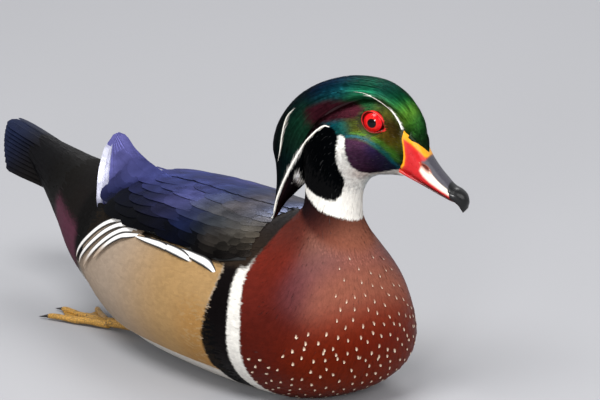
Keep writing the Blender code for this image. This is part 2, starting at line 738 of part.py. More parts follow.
def foot_object(name, side):
    """Three long toes with webs between, a short hind toe and claws, joined in one."""
    steps = 6
    pieces = []
    paths = {toe: toe_path(*TOES[toe], steps) for toe in TOES}
    for toe, path in paths.items():
        share = np.linspace(0, 1, steps)
        radius = 2.4 - 1.2 * share
        radius[-2:] = 0.9, 0.35
        rings = tube_rings(path, radius, 6)
        rings[..., 2] = np.maximum(rings[..., 2], SOLE)
        pieces.append(ring_object(toe, mirrored(rings, side)))
    for first, second in (("inner", "middle"), ("middle", "outer")):
        a, b = paths[first][:-1], paths[second][:-1]
        share = np.linspace(0, 1, 3)[None, :, None]
        top = a[:, None] + (b - a)[:, None] * share
        reach = np.linspace(0, 1, len(a))[:, None, None]
        back = np.array([1.0, 0, 0]) * 9 * reach * np.sin(np.pi * share)
        top = top + back
        top[..., 2] = SOLE + 1.9 - 0.5 * reach[..., 0]
        low = top - np.array([0, 0, 0.9])
        pieces.append(shell_object("web", mirrored(low, side), mirrored(top, side)))
    hind = tube_rings(
        np.array([(-90.5, 24.5, 2.4), (-93, 19.5, 2.0), (-97, 15.5, 1.5), (-100, 14, 1.1)]),
        [1.5, 1.3, 0.9, 0.4], 6)
    pieces.append(ring_object("hind", mirrored(hind, side)))
    knuckle = tube_rings(np.array([(-91.5, 27.0, 3.3), (-95, 27.4, 3.1), (-98, 27.6, 2.9)]), [2.7, 2.7, 2.2], 10)
    foot = ring_object(name, mirrored(knuckle, side))
    boolean(foot, pieces, "UNION")
    boolean(foot, [shank("room", side, GAP)], "DIFFERENCE")
    thin_out(foot, 0.75)
    return foot


def build():
    for obj in list(bpy.data.objects):
        bpy.data.objects.remove(obj)
    bpy.context.scene.collection.children.link(parts)

    chestnut = material("chestnut breast feathers", (0.16, 0.030, 0.012), 0.6)
    dark = material("dark body feathers", (0.02, 0.018, 0.022), 0.5)
    head_look = material("iridescent head feathers", (0.012, 0.05, 0.03), 0.35)
    neck_look = material("white neck feathers", (0.75, 0.73, 0.70), 0.7)
    red = material("red bill", (0.62, 0.03, 0.02), 0.3)
    flank_look = material("buff flank feathers", (0.55, 0.37, 0.17), 0.7)
    wing_look = material("blue-black wing feathers", (0.02, 0.022, 0.05), 0.35)
    tail_look = material("tail feathers", (0.015, 0.015, 0.02), 0.45)
    eye_look = material("red eye", (0.5, 0.02, 0.01), 0.1)
    lid_look = material("red eyelid", (0.6, 0.05, 0.03), 0.4)
    leg_look = material("yellow leg skin", (0.5, 0.28, 0.06), 0.5)

    torso = flesh_object("torso", TAIL_CUT, BREAST_CUT, 18, 28)
    breast = flesh_object("breast", BREAST_CUT, NECK_CUT, 11, 26)
    neck = flesh_object("neck", NECK_CUT, HEAD_CUT, 7, 22)
    head = flesh_object("head", HEAD_CUT, HEAD_END, 18, 24)
    boolean(head, [bill_object("room", BILL_UPPER, 14, GAP)], "DIFFERENCE", "MANIFOLD")
    boolean(head, [bill_object("room", BILL_LOWER, 9, GAP)], "DIFFERENCE", "MANIFOLD")
    boolean(head, [socket_cutter(side) for side in SIDES.values()], "DIFFERENCE", "MANIFOLD")
    thin_out(head, 0.85)
    finish(torso, dark)
    finish(breast, chestnut)
    finish(neck, neck_look)
    finish(head, head_look)

    bill = bill_object("bill_upper", BILL_UPPER, 16)
    boolean(bill, [nostril_cutter(side) for side in SIDES.values()], "DIFFERENCE")
    finish(bill, red)
    finish(bill_object("bill_lower", BILL_LOWER, 10), red)
    for name, side in SIDES.items():
        finish(eyeball("eye_" + name, side), eye_look)
        finish(eyelid("eyelid_" + name, side), lid_look)

    finish(crest_object(), head_look)

    for name, side in SIDES.items():
        wing = wing_core("wing_" + name, side)
        boolean(wing, wing_vanes(side), "UNION", "MANIFOLD")
        thin_out(wing, 0.72)
        finish(wing, wing_look)
        flank = flank_core("flank_" + name, side)
        boolean(flank, flank_vanes(side), "UNION")
        thin_out(flank, 0.85)
        finish(flank, flank_look)
        finish(leg_object("leg_" + name, side), leg_look)
        finish(foot_object("foot_" + name, side), leg_look)
    tail = tail_object()
    boolean(tail, covert_vanes() + tail_vanes(), "UNION")
    thin_out(tail, 0.65)
    finish(tail, tail_look)


build()
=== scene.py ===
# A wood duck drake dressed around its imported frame: skin, feathers, crest, bill, eyes, lids and feet.
# Tables are in millimetres, meshes in metres; +X is forward, +Y the bird's left, +Z up.
import bpy
import numpy as np
from mathutils import Matrix, Vector


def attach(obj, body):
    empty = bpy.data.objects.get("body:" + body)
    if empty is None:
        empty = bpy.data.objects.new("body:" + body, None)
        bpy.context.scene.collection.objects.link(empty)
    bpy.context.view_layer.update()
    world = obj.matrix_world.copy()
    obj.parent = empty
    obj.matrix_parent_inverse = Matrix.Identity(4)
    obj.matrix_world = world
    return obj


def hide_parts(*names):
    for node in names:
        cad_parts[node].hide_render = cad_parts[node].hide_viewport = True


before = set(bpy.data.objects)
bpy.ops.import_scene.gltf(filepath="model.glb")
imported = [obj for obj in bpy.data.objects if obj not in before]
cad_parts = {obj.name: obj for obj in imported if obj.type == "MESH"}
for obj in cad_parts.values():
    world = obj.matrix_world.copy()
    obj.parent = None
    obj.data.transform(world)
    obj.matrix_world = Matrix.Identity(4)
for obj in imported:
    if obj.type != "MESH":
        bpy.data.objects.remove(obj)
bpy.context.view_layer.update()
mm = 0.001

# The bird's form, the same as in the CAD

stations = np.array([  # dorsal x, z, ventral x, z, half width, widest place, roundness above and below
    (-192, 81.0, -190, 63, 11, 0.40, 1.7, 2.0),  # covert tip
    (-173, 79.0, -171, 52, 15.5, 0.42, 1.8, 2.0),
    (-150, 77, -148, 34, 22, 0.42, 2.0, 2.0),  # tail root
    (-125, 77, -121, 17, 33, 0.48, 2.1, 2.0),
    (-95, 79, -90, 6, 42, 0.48, 2.2, 2.0),  # rump
    (-55, 81.5, -50, -3, 52, 0.48, 2.3, 2.0),
    (-12, 84.5, -8, -5, 57, 0.48, 2.3, 2.0),  # middle of the back
    (22, 88, 40, -4, 56, 0.45, 2.2, 2.1),
    (33, 90, 74, 0, 51, 0.40, 2.1, 2.2),
    (41, 91, 99, 14, 44, 0.34, 2.0, 2.3),
    (47, 93.5, 109, 44, 33, 0.40, 2.0, 2.2),  # breast
    (51, 96, 104, 66, 23.5, 0.44, 2.0, 2.1),
    (54.5, 100, 96, 80, 17.5, 0.48, 2.0, 2.0),  # root of the neck
    (57, 106, 88.5, 91, 15, 0.50, 2.0, 2.0),
    (57.5, 114, 87, 101, 14.6, 0.50, 2.0, 2.0),
    (56.5, 125, 88, 110, 15.4, 0.50, 2.0, 2.0),
    (56.5, 138, 91.5, 116.5, 16.8, 0.48, 2.0, 2.0),  # nape
    (62, 150.5, 96, 119.4, 17.8, 0.44, 1.9, 2.0),
    (73.5, 159.5, 99.5, 120.5, 17.8, 0.40, 1.8, 2.0),
    (87, 165, 102.5, 120.8, 17.0, 0.37, 1.75, 2.0),
    (98.5, 166.8, 104.5, 120.9, 15.4, 0.37, 1.75, 2.0),  # over the eye
    (108, 165, 106.5, 120.9, 13.2, 0.37, 1.75, 2.0),
    (116, 159.5, 108.5, 120.8, 10.8, 0.38, 1.8, 2.0),
    (121, 151.5, 110.3, 120.6, 9.0, 0.40, 1.9, 2.0),
    (123, 143.2, 111.8, 120.5, 7.6, 0.45, 2.0, 2.0),  # base of the bill
])
head = {"yaw": np.radians(32), "pitch": np.radians(-25), "pivot": 72.5, "x": 97.6, "z": 151.0}
lastStation = len(stations) - 1


def spline(table, t):  # a row of the table at a fractional row number, on a curve through every row
    table = np.asarray(table, float)
    t = np.clip(np.asarray(t, float), 0, len(table) - 1)
    i = np.minimum(t.astype(int), len(table) - 2)
    u = (t - i)[..., None]
    ends = np.vstack([2 * table[0] - table[1], table, 2 * table[-1] - table[-2]])
    a, b, c, d = (ends[i + k] for k in range(4))
    return 0.5 * (2 * b + (c - a) * u + (2 * a - 5 * b + 4 * c - d) * u**2 + (3 * (b - c) + d - a) * u**3)


def smooth(x):
    x = np.clip(x, 0, 1)
    return x * x * (3 - 2 * x)


def turnAbout(points, angle):  # about the upright line through the neck
    x, y = points[..., 0] - head["pivot"], points[..., 1]
    c, s = np.cos(angle), np.sin(angle)
    return np.stack([head["pivot"] + x * c - y * s, x * s + y * c, points[..., 2]], -1)


def headPoint(a, b, c=0.0):  # forward, up and left in the head's own directions, from between the eyes
    a, b, c = np.broadcast_arrays(np.asarray(a, float), b, c)
    cp, sp = np.cos(head["pitch"]), np.sin(head["pitch"])
    straight = np.stack([head["x"] + a * cp - b * sp, c, head["z"] + a * sp + b * cp], -1)
    return turnAbout(straight, head["yaw"])


def toHead(points):  # the way back from headPoint
    straight = turnAbout(points, -head["yaw"])
    dx, dz = straight[..., 0] - head["x"], straight[..., 2] - head["z"]
    cp, sp = np.cos(head["pitch"]), np.sin(head["pitch"])
    return dx * cp + dz * sp, dz * cp - dx * sp, straight[..., 1]


def body(t, theta):  # t runs from tail to bill, theta from the back round by the left
    t, theta = np.broadcast_arrays(np.asarray(t, float), np.asarray(theta, float))
    dx, dz, vx, vz, half, widest, above, below = np.moveaxis(spline(stations, t), -1, 0)
    c, s = np.cos(theta), np.sin(theta)
    power = np.where(c >= 0, above, below)
    rise = np.abs(c) ** (2 / power) * np.where(c >= 0, 1 - widest, -widest)
    x, z = vx + (widest + rise) * (dx - vx), vz + (widest + rise) * (dz - vz)
    y = half * np.sign(s) * np.abs(s) ** (2 / power)
    points = turnAbout(np.stack([x, y, z], -1), head["yaw"] * smooth((t - 12) / 4))
    points[..., 2] = np.maximum(points[..., 2], 0)
    return points


def unit(v):
    return v / np.maximum(np.linalg.norm(v, axis=-1, keepdims=True), 1e-9)


def bodyNormal(t, theta, step=0.02):
    along = body(t + step, theta) - body(t - step, theta)
    around = body(t, theta + step) - body(t, theta - step)
    return unit(np.cross(along, around))


def onBody(t, theta, lift=0.0):
    t, theta = np.broadcast_arrays(np.asarray(t, float), np.asarray(theta, float))
    return body(t, theta) + bodyNormal(t, theta) * np.broadcast_to(np.asarray(lift, float), t.shape)[..., None]


crestRows = np.array([  # outer a, b, inner a, b, half width, in the head's directions
    (25.0, 1.6, 23.0, 0.0, 3.0),
    (20.2, 8.0, 16.5, 3.0, 6.4),
    (12.4, 14.2, 9.0, 6.5, 9.0),
    (2.3, 17.0, 0.0, 7.6, 10.6),
    (-8.8, 16.0, -7.5, 5.0, 12.2),
    (-22.9, 9.8, -14.0, -3.0, 13.8),
    (-35.4, -1.2, -18.0, -12.0, 14.0),
    (-43.3, -14.3, -20.0, -21.0, 13.0),
    (-46.3, -29.5, -21.0, -31.0, 11.4),
    (-44.2, -42.5, -20.0, -41.0, 9.8),
    (-38.8, -50.5, -20.0, -51.0, 8.0),
    (-34.6, -58.5, -22.5, -59.5, 6.0),
    (-30.5, -69.0, -25.5, -68.5, 3.6),
    (-28.0, -77.5, -26.4, -77.0, 1.2),
])


def crestSurface(row, angle):  # angle from the crest's ridge round by the left
    row, angle = np.broadcast_arrays(np.asarray(row, float), np.asarray(angle, float))
    oa, ob, ia, ib, half = np.moveaxis(spline(crestRows, row), -1, 0)
    c, s = np.cos(angle), np.sin(angle)
    up = 0.5 + 0.5 * np.sign(c) * np.abs(c) ** (2 / 2.1)
    return headPoint(ia + up * (oa - ia), ib + up * (ob - ib), np.sign(s) * np.abs(s) ** (2 / 2.1) * half)


def crestNormal(row, angle, step=0.03):
    along = crestSurface(row + step, angle) - crestSurface(row - step, angle)
    around = crestSurface(row, angle + step) - crestSurface(row, angle - step)
    return unit(np.cross(around, along))


# Colours and markings


def linear(code):  # sRGB hex to linear
    v = np.array([int(code[i:i + 2], 16) for i in (1, 3, 5)]) / 255
    return np.where(v <= 0.04045, v / 12.92, ((v + 0.055) / 1.055) ** 2.4)


def blendSpots(x, y, spots):  # each spot: place, reach and colour; the nearest ones win softly
    place = np.array([spot[:3] for spot in spots], float)
    tint = np.array([linear(spot[3]) for spot in spots])
    far = (x[..., None] - place[:, 0]) ** 2 + (y[..., None] - place[:, 1]) ** 2
    weight = np.exp(-far / (2 * place[:, 2] ** 2)) + 1e-12
    return weight @ tint / weight.sum(-1, keepdims=True)


def segments(x, y, a, b):  # distance to each segment and the share along it
    (ex, ey), (wx, wy) = (b - a).T, (x[..., None] - a[:, 0], y[..., None] - a[:, 1])
    share = np.clip((wx * ex + wy * ey) / np.maximum(ex**2 + ey**2, 1e-9), 0, 1)
    return np.hypot(wx - ex * share, wy - ey * share), share


def within(x, y, outline, soft=0.5):  # 1 inside the outline, 0 outside, with a soft edge
    a = np.array(outline, float)
    b = np.roll(a, -1, 0)
    far = segments(x, y, a, b)[0].min(-1)
    crosses = (a[:, 1] > y[..., None]) != (b[:, 1] > y[..., None])
    rise = np.where(np.abs(b[:, 1] - a[:, 1]) < 1e-9, 1e-9, b[:, 1] - a[:, 1])
    left = x[..., None] < (b[:, 0] - a[:, 0]) * (y[..., None] - a[:, 1]) / rise + a[:, 0]
    inside = (crosses & left).sum(-1) % 2 == 1
    return smooth(np.where(inside, far, -far) / (2 * soft) + 0.5)


def stripe(x, y, line, soft=0.35):  # rows of place and half width
    row = np.array(line, float)
    far, share = segments(x, y, row[:-1, :2], row[1:, :2])
    half = row[:-1, 2] + (row[1:, 2] - row[:-1, 2]) * share
    return smooth((half - far) / (2 * soft) + 0.5).max(-1)


def mix(a, b, share):
    return a + (b - a) * share[..., None]


headMarks = {  # places in the head's own directions, forward and up from between the eyes
    "gloss": [
        (-41, -12, 6, "#0C1A26"), (-43, -30, 7, "#06080F"), (-40, -46, 7, "#05070B"), (-33, -60, 7, "#071214"),
        (-28, -74, 6, "#070E0E"), (-38, -3, 5, "#0B1536"), (-31, 4, 5, "#0E3058"), (-24, 8, 5, "#0C424C"),
        (-16, 12, 5, "#0E4A3C"), (-8, 15.5, 5, "#0E463E"), (2, 16.5, 4.5, "#0D4A44"), (-8, 11.5, 3.5, "#0E5A2E"),
        # painted highlight: the pale yellow-green spots at (14, 11.5) and (19, 8) light up the forehead's green
        # iridescence
        (4, 13, 3.5, "#155A22"), (11, 13.6, 3.5, "#1C6A2C"), (14, 11.5, 3, "#6A962A"), (19, 8, 3, "#4E9426"),
        (22.5, 6, 2.6, "#1E5426"), (18, 4.6, 1.8, "#0E140A"), (21, 11, 3, "#0F4A3C"), (25, 1, 3, "#14240F"), (20, 2.5, 2.5, "#0C1008"),
        (11, 5, 3, "#3E2A10"), (5, 8.6, 2.2, "#5A480E"), (0, 9.4, 2.6, "#4A4A10"), (14, 1, 2.6, "#2A1E0C"), (-7, 7, 3.2, "#1C3A14"),
        (-14, 5.4, 3.6, "#1C4A20"), (-27, -1, 4, "#0C4030"), (-35, -12, 4, "#1A3E24"), (-35, -22, 4.5, "#123C26"),
        (-33, -33, 5, "#142E20"),
        (-31, -45, 5, "#061A1A"), (-18, -13, 2.6, "#0A4048"), (-11, -11.5, 2.6, "#10504C"), (-7, -7, 3, "#3E4416"),
        (-3, -9, 2.4, "#4A4614"), (4, -7.2, 2.6, "#5A4614"), (12, -3, 3, "#5A4814"), (17.5, -5, 3, "#5A5618"),
        (16, -10.5, 2.2, "#2E7A24"), (8, -9.0, 2.2, "#2E6A20"), (22, -8, 3, "#1A3212"), (24, -14, 3, "#12201A"),
    ],
    "maroon": [(-35, -13.5), (-27.8, -19.2), (-22.4, -14.6), (-16.7, -9.4), (-8.0, -3.2), (-6.4, 3.4),
               (-13.4, 3.2), (-20, 1.4), (-26, -2.2)],
    "purple": [(-9.0, -14.0), (-2.7, -11.2), (3.0, -10.0), (9.2, -10.4), (14.9, -12.2), (20.5, -15.2),
               (22.4, -17.6), (15.3, -23.2), (10.0, -27.0), (5.3, -27.8), (0.9, -26.6), (-2.4, -23.0), (-6.4, -18.2)],
    "purpleTint": [(-3, -15, 4, "#402438"), (5, -17, 5, "#382036"), (4, -24, 4, "#44283E"), (14, -15.5, 4, "#1E1E38"),
                   (13, -21, 4, "#2C1A2E"), (19, -17, 3, "#172230"), (8, -12, 2.5, "#262048")],
    "black": [(-11.2, -15.0), (-15.5, -13.0), (-20.3, -14.2), (-24, -19.5), (-27.2, -29.4), (-28.6, -38.3),
              (-29.6, -50), (-25.5, -53), (-10.6, -52), (1.2, -49.0), (2.6, -44.0), (2.0, -39.3), (0.8, -34.5),
              (-4.1, -30.0), (-7.5, -25.2), (-9.9, -20.0)],
    "white": [(-11.6, -14.2), (-9.2, -13.2), (-7.4, -14.6), (-5.9, -18.0), (-2.4, -22.4), (0.9, -25.8), (5.3, -27.2),
              (10.0, -26.5), (15.3, -22.6), (21.8, -17.7), (40, -20), (40, -70), (15, -55.0), (9.6, -55.3),
              (3.2, -55.8), (-4.0, -56.7), (-21.9, -53.8), (-25.8, -50.2), (-24.6, -46.8), (-21.5, -51.4),
              (-10.6, -50.6), (-3.6, -49.8), (1.0, -48.0), (2.2, -44.0), (1.8, -39.3), (0.5, -34.9), (-4.1, -30.3),
              (-7.5, -25.4), (-9.9, -20.3)],
    "throatFront": (4.0, -60.0),
    "brow": [(15.6, 3.4, 0.42), (12.3, 6.2, 0.42), (8.2, 8.4, 0.26), (3.7, 10.1, 0.12), (-2.0, 11.2, 0.04),
             (-9.2, 11.2, 0.02), (-15.1, 9.1, -0.4)],
    "groove": [(-9.2, 11.4, -0.3), (-15.1, 8.6, 0.1), (-23.6, 3.8, 0.3), (-31.4, -2.0, 0.3), (-38.0, -11.0, 0.1)],
    "napeLine": [(-39.5, -16.0, -0.3), (-41.4, -22.5, 0.3), (-40.0, -31.0, 0.4), (-37.5, -40.0, 0.35),
                 (-36.0, -47.0, -0.2)],
    "cheekLine": [(-18.0, -13.6, -0.1), (-20.8, -14.9, 0.3), (-23.5, -19.5, 0.5), (-26.8, -29.4, 0.6),
                  (-28.1, -38.3, 0.65), (-28.9, -48.2, 0.65), (-29.4, -58.1, 0.65), (-29.4, -66.9, 0.6),
                  (-28.4, -75.0, 0.5), (-28.0, -80, 0.4)],
    "blueEdge": [(-8.4, -12.6, 0.6), (-2.7, -9.8, 0.8), (3.0, -8.7, 0.9), (9.2, -9.2, 0.9), (14.9, -11.4, 1.0),
                 (19.2, -14.4, 0.8), (22.4, -16.4, 0.6)],
    "greenEdge": [(-6.4, -10.0, 0.5), (-2.0, -7.8, 0.8), (3.6, -6.4, 1.0), (10.2, -6.8, 1.1), (16.5, -9.4, 1.3),
                  (20.6, -12.4, 1.0)],
}
plainTints = {name: linear(code) for name, code in {
    "maroon": "#38141C", "black": "#030304", "white": "#FBF7EE", "collar": "#180A10", "chestnut": "#5E1D14",
    "rust": "#7A2F16", "plum": "#5A2A3C", "buff": "#B49060", "pinkBuff": "#B4A08C", "belly": "#EFEAE0",
    "bronze": "#2B2118", "backBlack": "#0B0B0F", "rumpMaroon": "#68384A", "rumpBrown": "#4A2C18"}.items()}


def headColour(points):
    a, b, c = toHead(points)
    # the head's iridescent colours, with painted highlights over the forehead
    tint = blendSpots(a, b, headMarks["gloss"])
    tint = mix(tint, plainTints["maroon"], within(a, b, headMarks["maroon"], 1.6) * (a > -34))
    tint = mix(tint, blendSpots(a, b, headMarks["purpleTint"]), within(a, b, headMarks["purple"], 1.0))
    tint = mix(tint, linear("#467E2A"), stripe(a, b, headMarks["greenEdge"], 1.2) * 0.6)
    tint = mix(tint, linear("#0E5A6C"), stripe(a, b, headMarks["blueEdge"], 0.9) * 0.7)
    strip = smooth((a + 28.5 - 0.06 * (b + 30)) / 1.6) * smooth((-b - 14) / 3) * smooth((-a - 12) / 4)
    tint = mix(tint, linear("#1A0D0E"), strip)
    tint = mix(tint, plainTints["black"], within(a, b, headMarks["black"], 0.5))
    low = smooth((-53.0 - 0.06 * a - b) / 1.2)  # under the white collar
    # the pale pinkish-tan spots at (16, -61) and (15, -70) are partly the upper breast's own chestnut and partly a
    # painted sheen on it
    collar = mix(blendSpots(a, b, [(-20, -62, 9, "#0D080B"), (-5, -60, 6, "#160A0E"), (5, -59, 6, "#3A1A14"),
                                   (16, -61, 6, "#82503E"), (0, -72, 7, "#5A261E"), (-25, -75, 9, "#1C1013"),
                                   (15, -70, 8, "#8A4E3C")]), plainTints["chestnut"], smooth((-70 - b) / 12))
    tint = mix(tint, collar, low * (a > -27))
    tint = mix(tint, plainTints["white"], within(a, b, headMarks["white"], 0.35))
    # painted shade: a near-black line along the groove behind the brow
    tint = mix(tint, linear("#04060A"), stripe(a, b, headMarks["groove"], 0.3) * 0.8)
    for line in ("brow", "napeLine", "cheekLine"):
        tint = mix(tint, plainTints["white"], stripe(a, b, headMarks[line], 0.3))
    return tint


barEdges = {  # x of each edge by height, from the photo
    "z": [0, 33, 42, 50, 56, 62, 67, 75],
    "blackRear": [36, 34.5, 35.6, 36.8, 37.5, 37.5, 37, 34],
    "whiteRear": [53, 51.0, 50.2, 48.8, 47.4, 46.0, 45.4, 45],
    "whiteFront": [62, 59.5, 58.5, 56.2, 54.3, 52.0, 50.9, 50],
}

flankTop = [(3.7, 1.72), (4.0, 1.42), (4.3, 1.19), (4.6, 0.95), (4.9, 0.79), (5.1, 0.71), (5.25, 0.69), (5.5, 0.93),
            (5.8, 0.92), (6.3, 0.90), (6.75, 0.93), (7.1, 0.96), (7.4, 1.03)]  # station and angle; black feathers above it


def bodyColour(t, theta, points):
    x, y, z = np.moveaxis(points, -1, 0)
    edge = {name: np.interp(z, barEdges["z"], barEdges[name]) for name in barEdges if name != "z"}
    down = -np.cos(theta)  # 1 under the belly
    side = np.abs(y)
    # the pale plum-tan spots over the upper middle of the breast, from (99, 60) to (89, 90), are partly the breast's
    # own chestnut and plum and partly a painted sheen on it
    chest = blendSpots(x - 0.15 * side, z, [
        (108, 44, 9, "#801A00"), (103, 50, 7, "#8A3A22"), (99, 60, 8, "#A06252"), (99, 66, 7, "#A05E44"),
        (98, 74, 7, "#965A4C"), (88, 79, 7, "#7E5252"), (84, 88, 7, "#8A5A4A"), (89, 90, 6, "#8E5C48"),
        (81, 64, 8, "#6C3A3E"), (57, 61, 9, "#641F16"), (70, 43, 10, "#541810"), (95, 30, 10, "#6C1E08"),
        (75, 25, 12, "#5E180A"), (60, 75, 8, "#7A2618"), (62, 88, 7, "#5A2A22"), (90, 14, 12, "#702208"),
        (66, 30, 9, "#4E140A")])
    tint = mix(np.broadcast_to(plainTints["belly"], chest.shape), chest, smooth((x - edge["whiteFront"]) / 1.2 + 0.5))
    bar = smooth((x - edge["whiteRear"]) / 1.2 + 0.5) * smooth((edge["whiteFront"] - x) / 1.2 + 0.5)
    tint = mix(tint, plainTints["white"], bar)
    black = smooth((x - edge["blackRear"]) / 1.4 + 0.5) * smooth((edge["whiteRear"] - x) / 1.2 + 0.5)
    black = black * smooth((0.86 - down) / 0.1)
    tint = mix(tint, plainTints["black"], black)
    flank = smooth((edge["blackRear"] - x) / 1.4 + 0.5) * smooth((z - 12 + 0.05 * x) / 5)
    flank = flank * smooth((x + 108 + 0.5 * (z - 30)) / 10)
    buff = mix(plainTints["buff"] + 0 * chest, plainTints["pinkBuff"], smooth((10 - x) / 70))
    tint = mix(tint, buff, flank)
    back = smooth((z - 66 - 0.02 * x) / 3) * smooth((49 - x + 0.2 * (z - 66)) / 3 + 0.5)
    back = np.maximum(back, smooth((-98 - x) / 12) * smooth((z - 26 - 0.10 * (-98 - x)) / 8))
    dark = blendSpots(x, side, [(45, 10, 9, "#241E1A"), (45, 35, 9, "#2A2118"), (20, 20, 14, "#121217"),
                                (-30, 10, 20, "#0D0E16"), (-90, 10, 16, "#101119"), (-120, 10, 14, "#120F0D"),
                                (-150, 8, 14, "#15120F"), (-180, 5, 12, "#131216"), (-120, 30, 8, "#1C1612")])
    tint = mix(tint, dark, back)
    around = np.abs(np.mod(theta + np.pi, 2 * np.pi) - np.pi)
    above = smooth((np.interp(t, *zip(*flankTop)) - around) / 0.05 + 0.5) * smooth((t - 3.4) / 0.15) * (t < 5)
    tint = mix(tint, linear("#0B0908"), above)
    plume = smooth((-104 - x) / 8) * smooth((x + 152) / 8) * smooth((z - 26) / 6) * smooth((62 - z - 0.15 * (x + 130)) / 8)
    tint = mix(tint, mix(plainTints["rumpMaroon"] + 0 * chest, plainTints["rumpBrown"], smooth((40 - z) / 12)), plume)
    vent = smooth((-92 - x) / 10) * smooth((26 - z + 0.2 * (-92 - x)) / 6)
    tint = mix(tint, linear("#2A221C"), vent * 0.8)
    return tint


def birdColour(t, theta, points):
    upper = smooth((t - 11.6) / 0.8)
    return mix(bodyColour(t, theta, points), headColour(points), upper)


# Meshes

def addNode(tree, kind, settings=None, links=None):  # settings name a property or an input
    node = tree.nodes.new(kind)
    for key, value in (settings or {}).items():
        if isinstance(key, str) and hasattr(node, key):
            setattr(node, key, value)
        else:
            node.inputs[key].default_value = value
    for key, socket in (links or {}).items():
        tree.links.new(socket, node.inputs[key])
    return node


def makeMesh(name, points, faces, material, colours=None, bake=None, local=None, flat=None):

    points = np.asarray(points, float).reshape(-1, 3)
    counts = np.concatenate([np.full(len(block), block.shape[1]) for block in faces])
    corners = np.concatenate([block.ravel() for block in faces]).astype(np.int32)
    mesh = bpy.data.meshes.new(name)
    mesh.vertices.add(len(points))
    mesh.vertices.foreach_set("co", (points * mm).astype(np.float32).ravel())
    mesh.loops.add(len(corners))
    mesh.loops.foreach_set("vertex_index", corners)
    mesh.polygons.add(len(counts))
    starts = np.concatenate([[0], np.cumsum(counts)[:-1]])
    mesh.polygons.foreach_set("loop_start", starts.astype(np.int32))
    mesh.update(calc_edges=True)
    mesh.polygons.foreach_set("use_smooth", ~flat if flat is not None else np.ones(len(counts), bool))
    if colours is not None:
        colours = np.asarray(colours, float).reshape(len(points), -1)
        if colours.shape[1] == 3:
            colours = np.hstack([colours, np.zeros((len(points), 1))])
        layer = mesh.color_attributes.new("coat", "FLOAT_COLOR", "POINT")
        layer.data.foreach_set("color", colours.astype(np.float32).ravel())
    for title, values in (("OFBake", bake), ("vane", local)):
        if values is not None:
            uv = mesh.uv_layers.new(name=title)
            uv.data.foreach_set("uv", np.asarray(values, np.float32).reshape(-1, 2)[corners].ravel())
    mesh.validate()
    obj = bpy.data.objects.new(name, mesh)
    bpy.context.scene.collection.objects.link(obj)
    if material:
        mesh.materials.append(material)
    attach(obj, "root")
    return obj


def gridFaces(rows, cols, wrap=True, start=0):  # quads over a grid of points
    index = start + np.arange(rows * cols).reshape(rows, cols)
    right = np.roll(index, -1, 1) if wrap else index[:, 1:]
    left = index if wrap else index[:, :-1]
    return np.stack([left[:-1], right[:-1], right[1:], left[1:]], -1).reshape(-1, 4)


def capFaces(ring, centre, flip=False):
    other = np.roll(ring, -1)
    order = (other, ring) if flip else (ring, other)
    return np.stack([np.full(len(ring), centre), *order], -1)


def loftMesh(name, rings, material, colours=None, bake=None, **more):  # closed by a fan at each end
    rows, cols, _ = rings.shape
    points = np.vstack([rings.reshape(-1, 3), rings[0].mean(0), rings[-1].mean(0)])
    faces = [gridFaces(rows, cols), capFaces(np.arange(cols), rows * cols, True),
             capFaces((rows - 1) * cols + np.arange(cols), rows * cols + 1)]
    ends = []
    for values in (colours, bake):
        if values is not None:
            values = np.asarray(values).reshape(rows, cols, -1)
            values = np.vstack([values.reshape(rows * cols, -1), values[0].mean(0), values[-1].mean(0)])
        ends.append(values)
    return makeMesh(name, points, faces, material, *ends, **more)


featherShapes = {  # share of the half width from root (0) to tip (1)
    "leaf": [(0, 0.45), (0.3, 0.95), (0.6, 1.0), (0.82, 0.8), (0.94, 0.45), (1, 0.12)],
    "round": [(0, 0.5), (0.3, 0.9), (0.6, 1.0), (0.82, 0.92), (0.94, 0.62), (1, 0.2)],
    "hair": [(0, 0.7), (0.3, 1.0), (0.6, 0.8), (0.85, 0.5), (1, 0.06)],
    "blade": [(0, 0.55), (0.25, 0.95), (0.6, 1.0), (0.85, 0.7), (0.95, 0.4), (1, 0.1)],
    "lens": [(0, 0.06), (0.15, 0.5), (0.4, 0.95), (0.6, 1.0), (0.82, 0.8), (0.94, 0.45), (1, 0.12)],
    "square": [(0, 0.5), (0.3, 0.85), (0.7, 1.0), (0.9, 0.95), (0.97, 0.72), (1, 0.35)],
}
narrowRing = (np.array([-1.0, 0.0, 1.0]), np.array([0.0, 1.0, 0.0]), 2)  # across, height share, top points less 1
wideRing = (np.array([-1, -0.72, -0.4, -0.1, 0, 0.1, 0.4, 0.72, 1, 0.5, -0.5]),
            np.array([0, 0.45, 0.75, 0.9, 1.1, 0.9, 0.75, 0.45, 0, -0.1, -0.1]), 8)


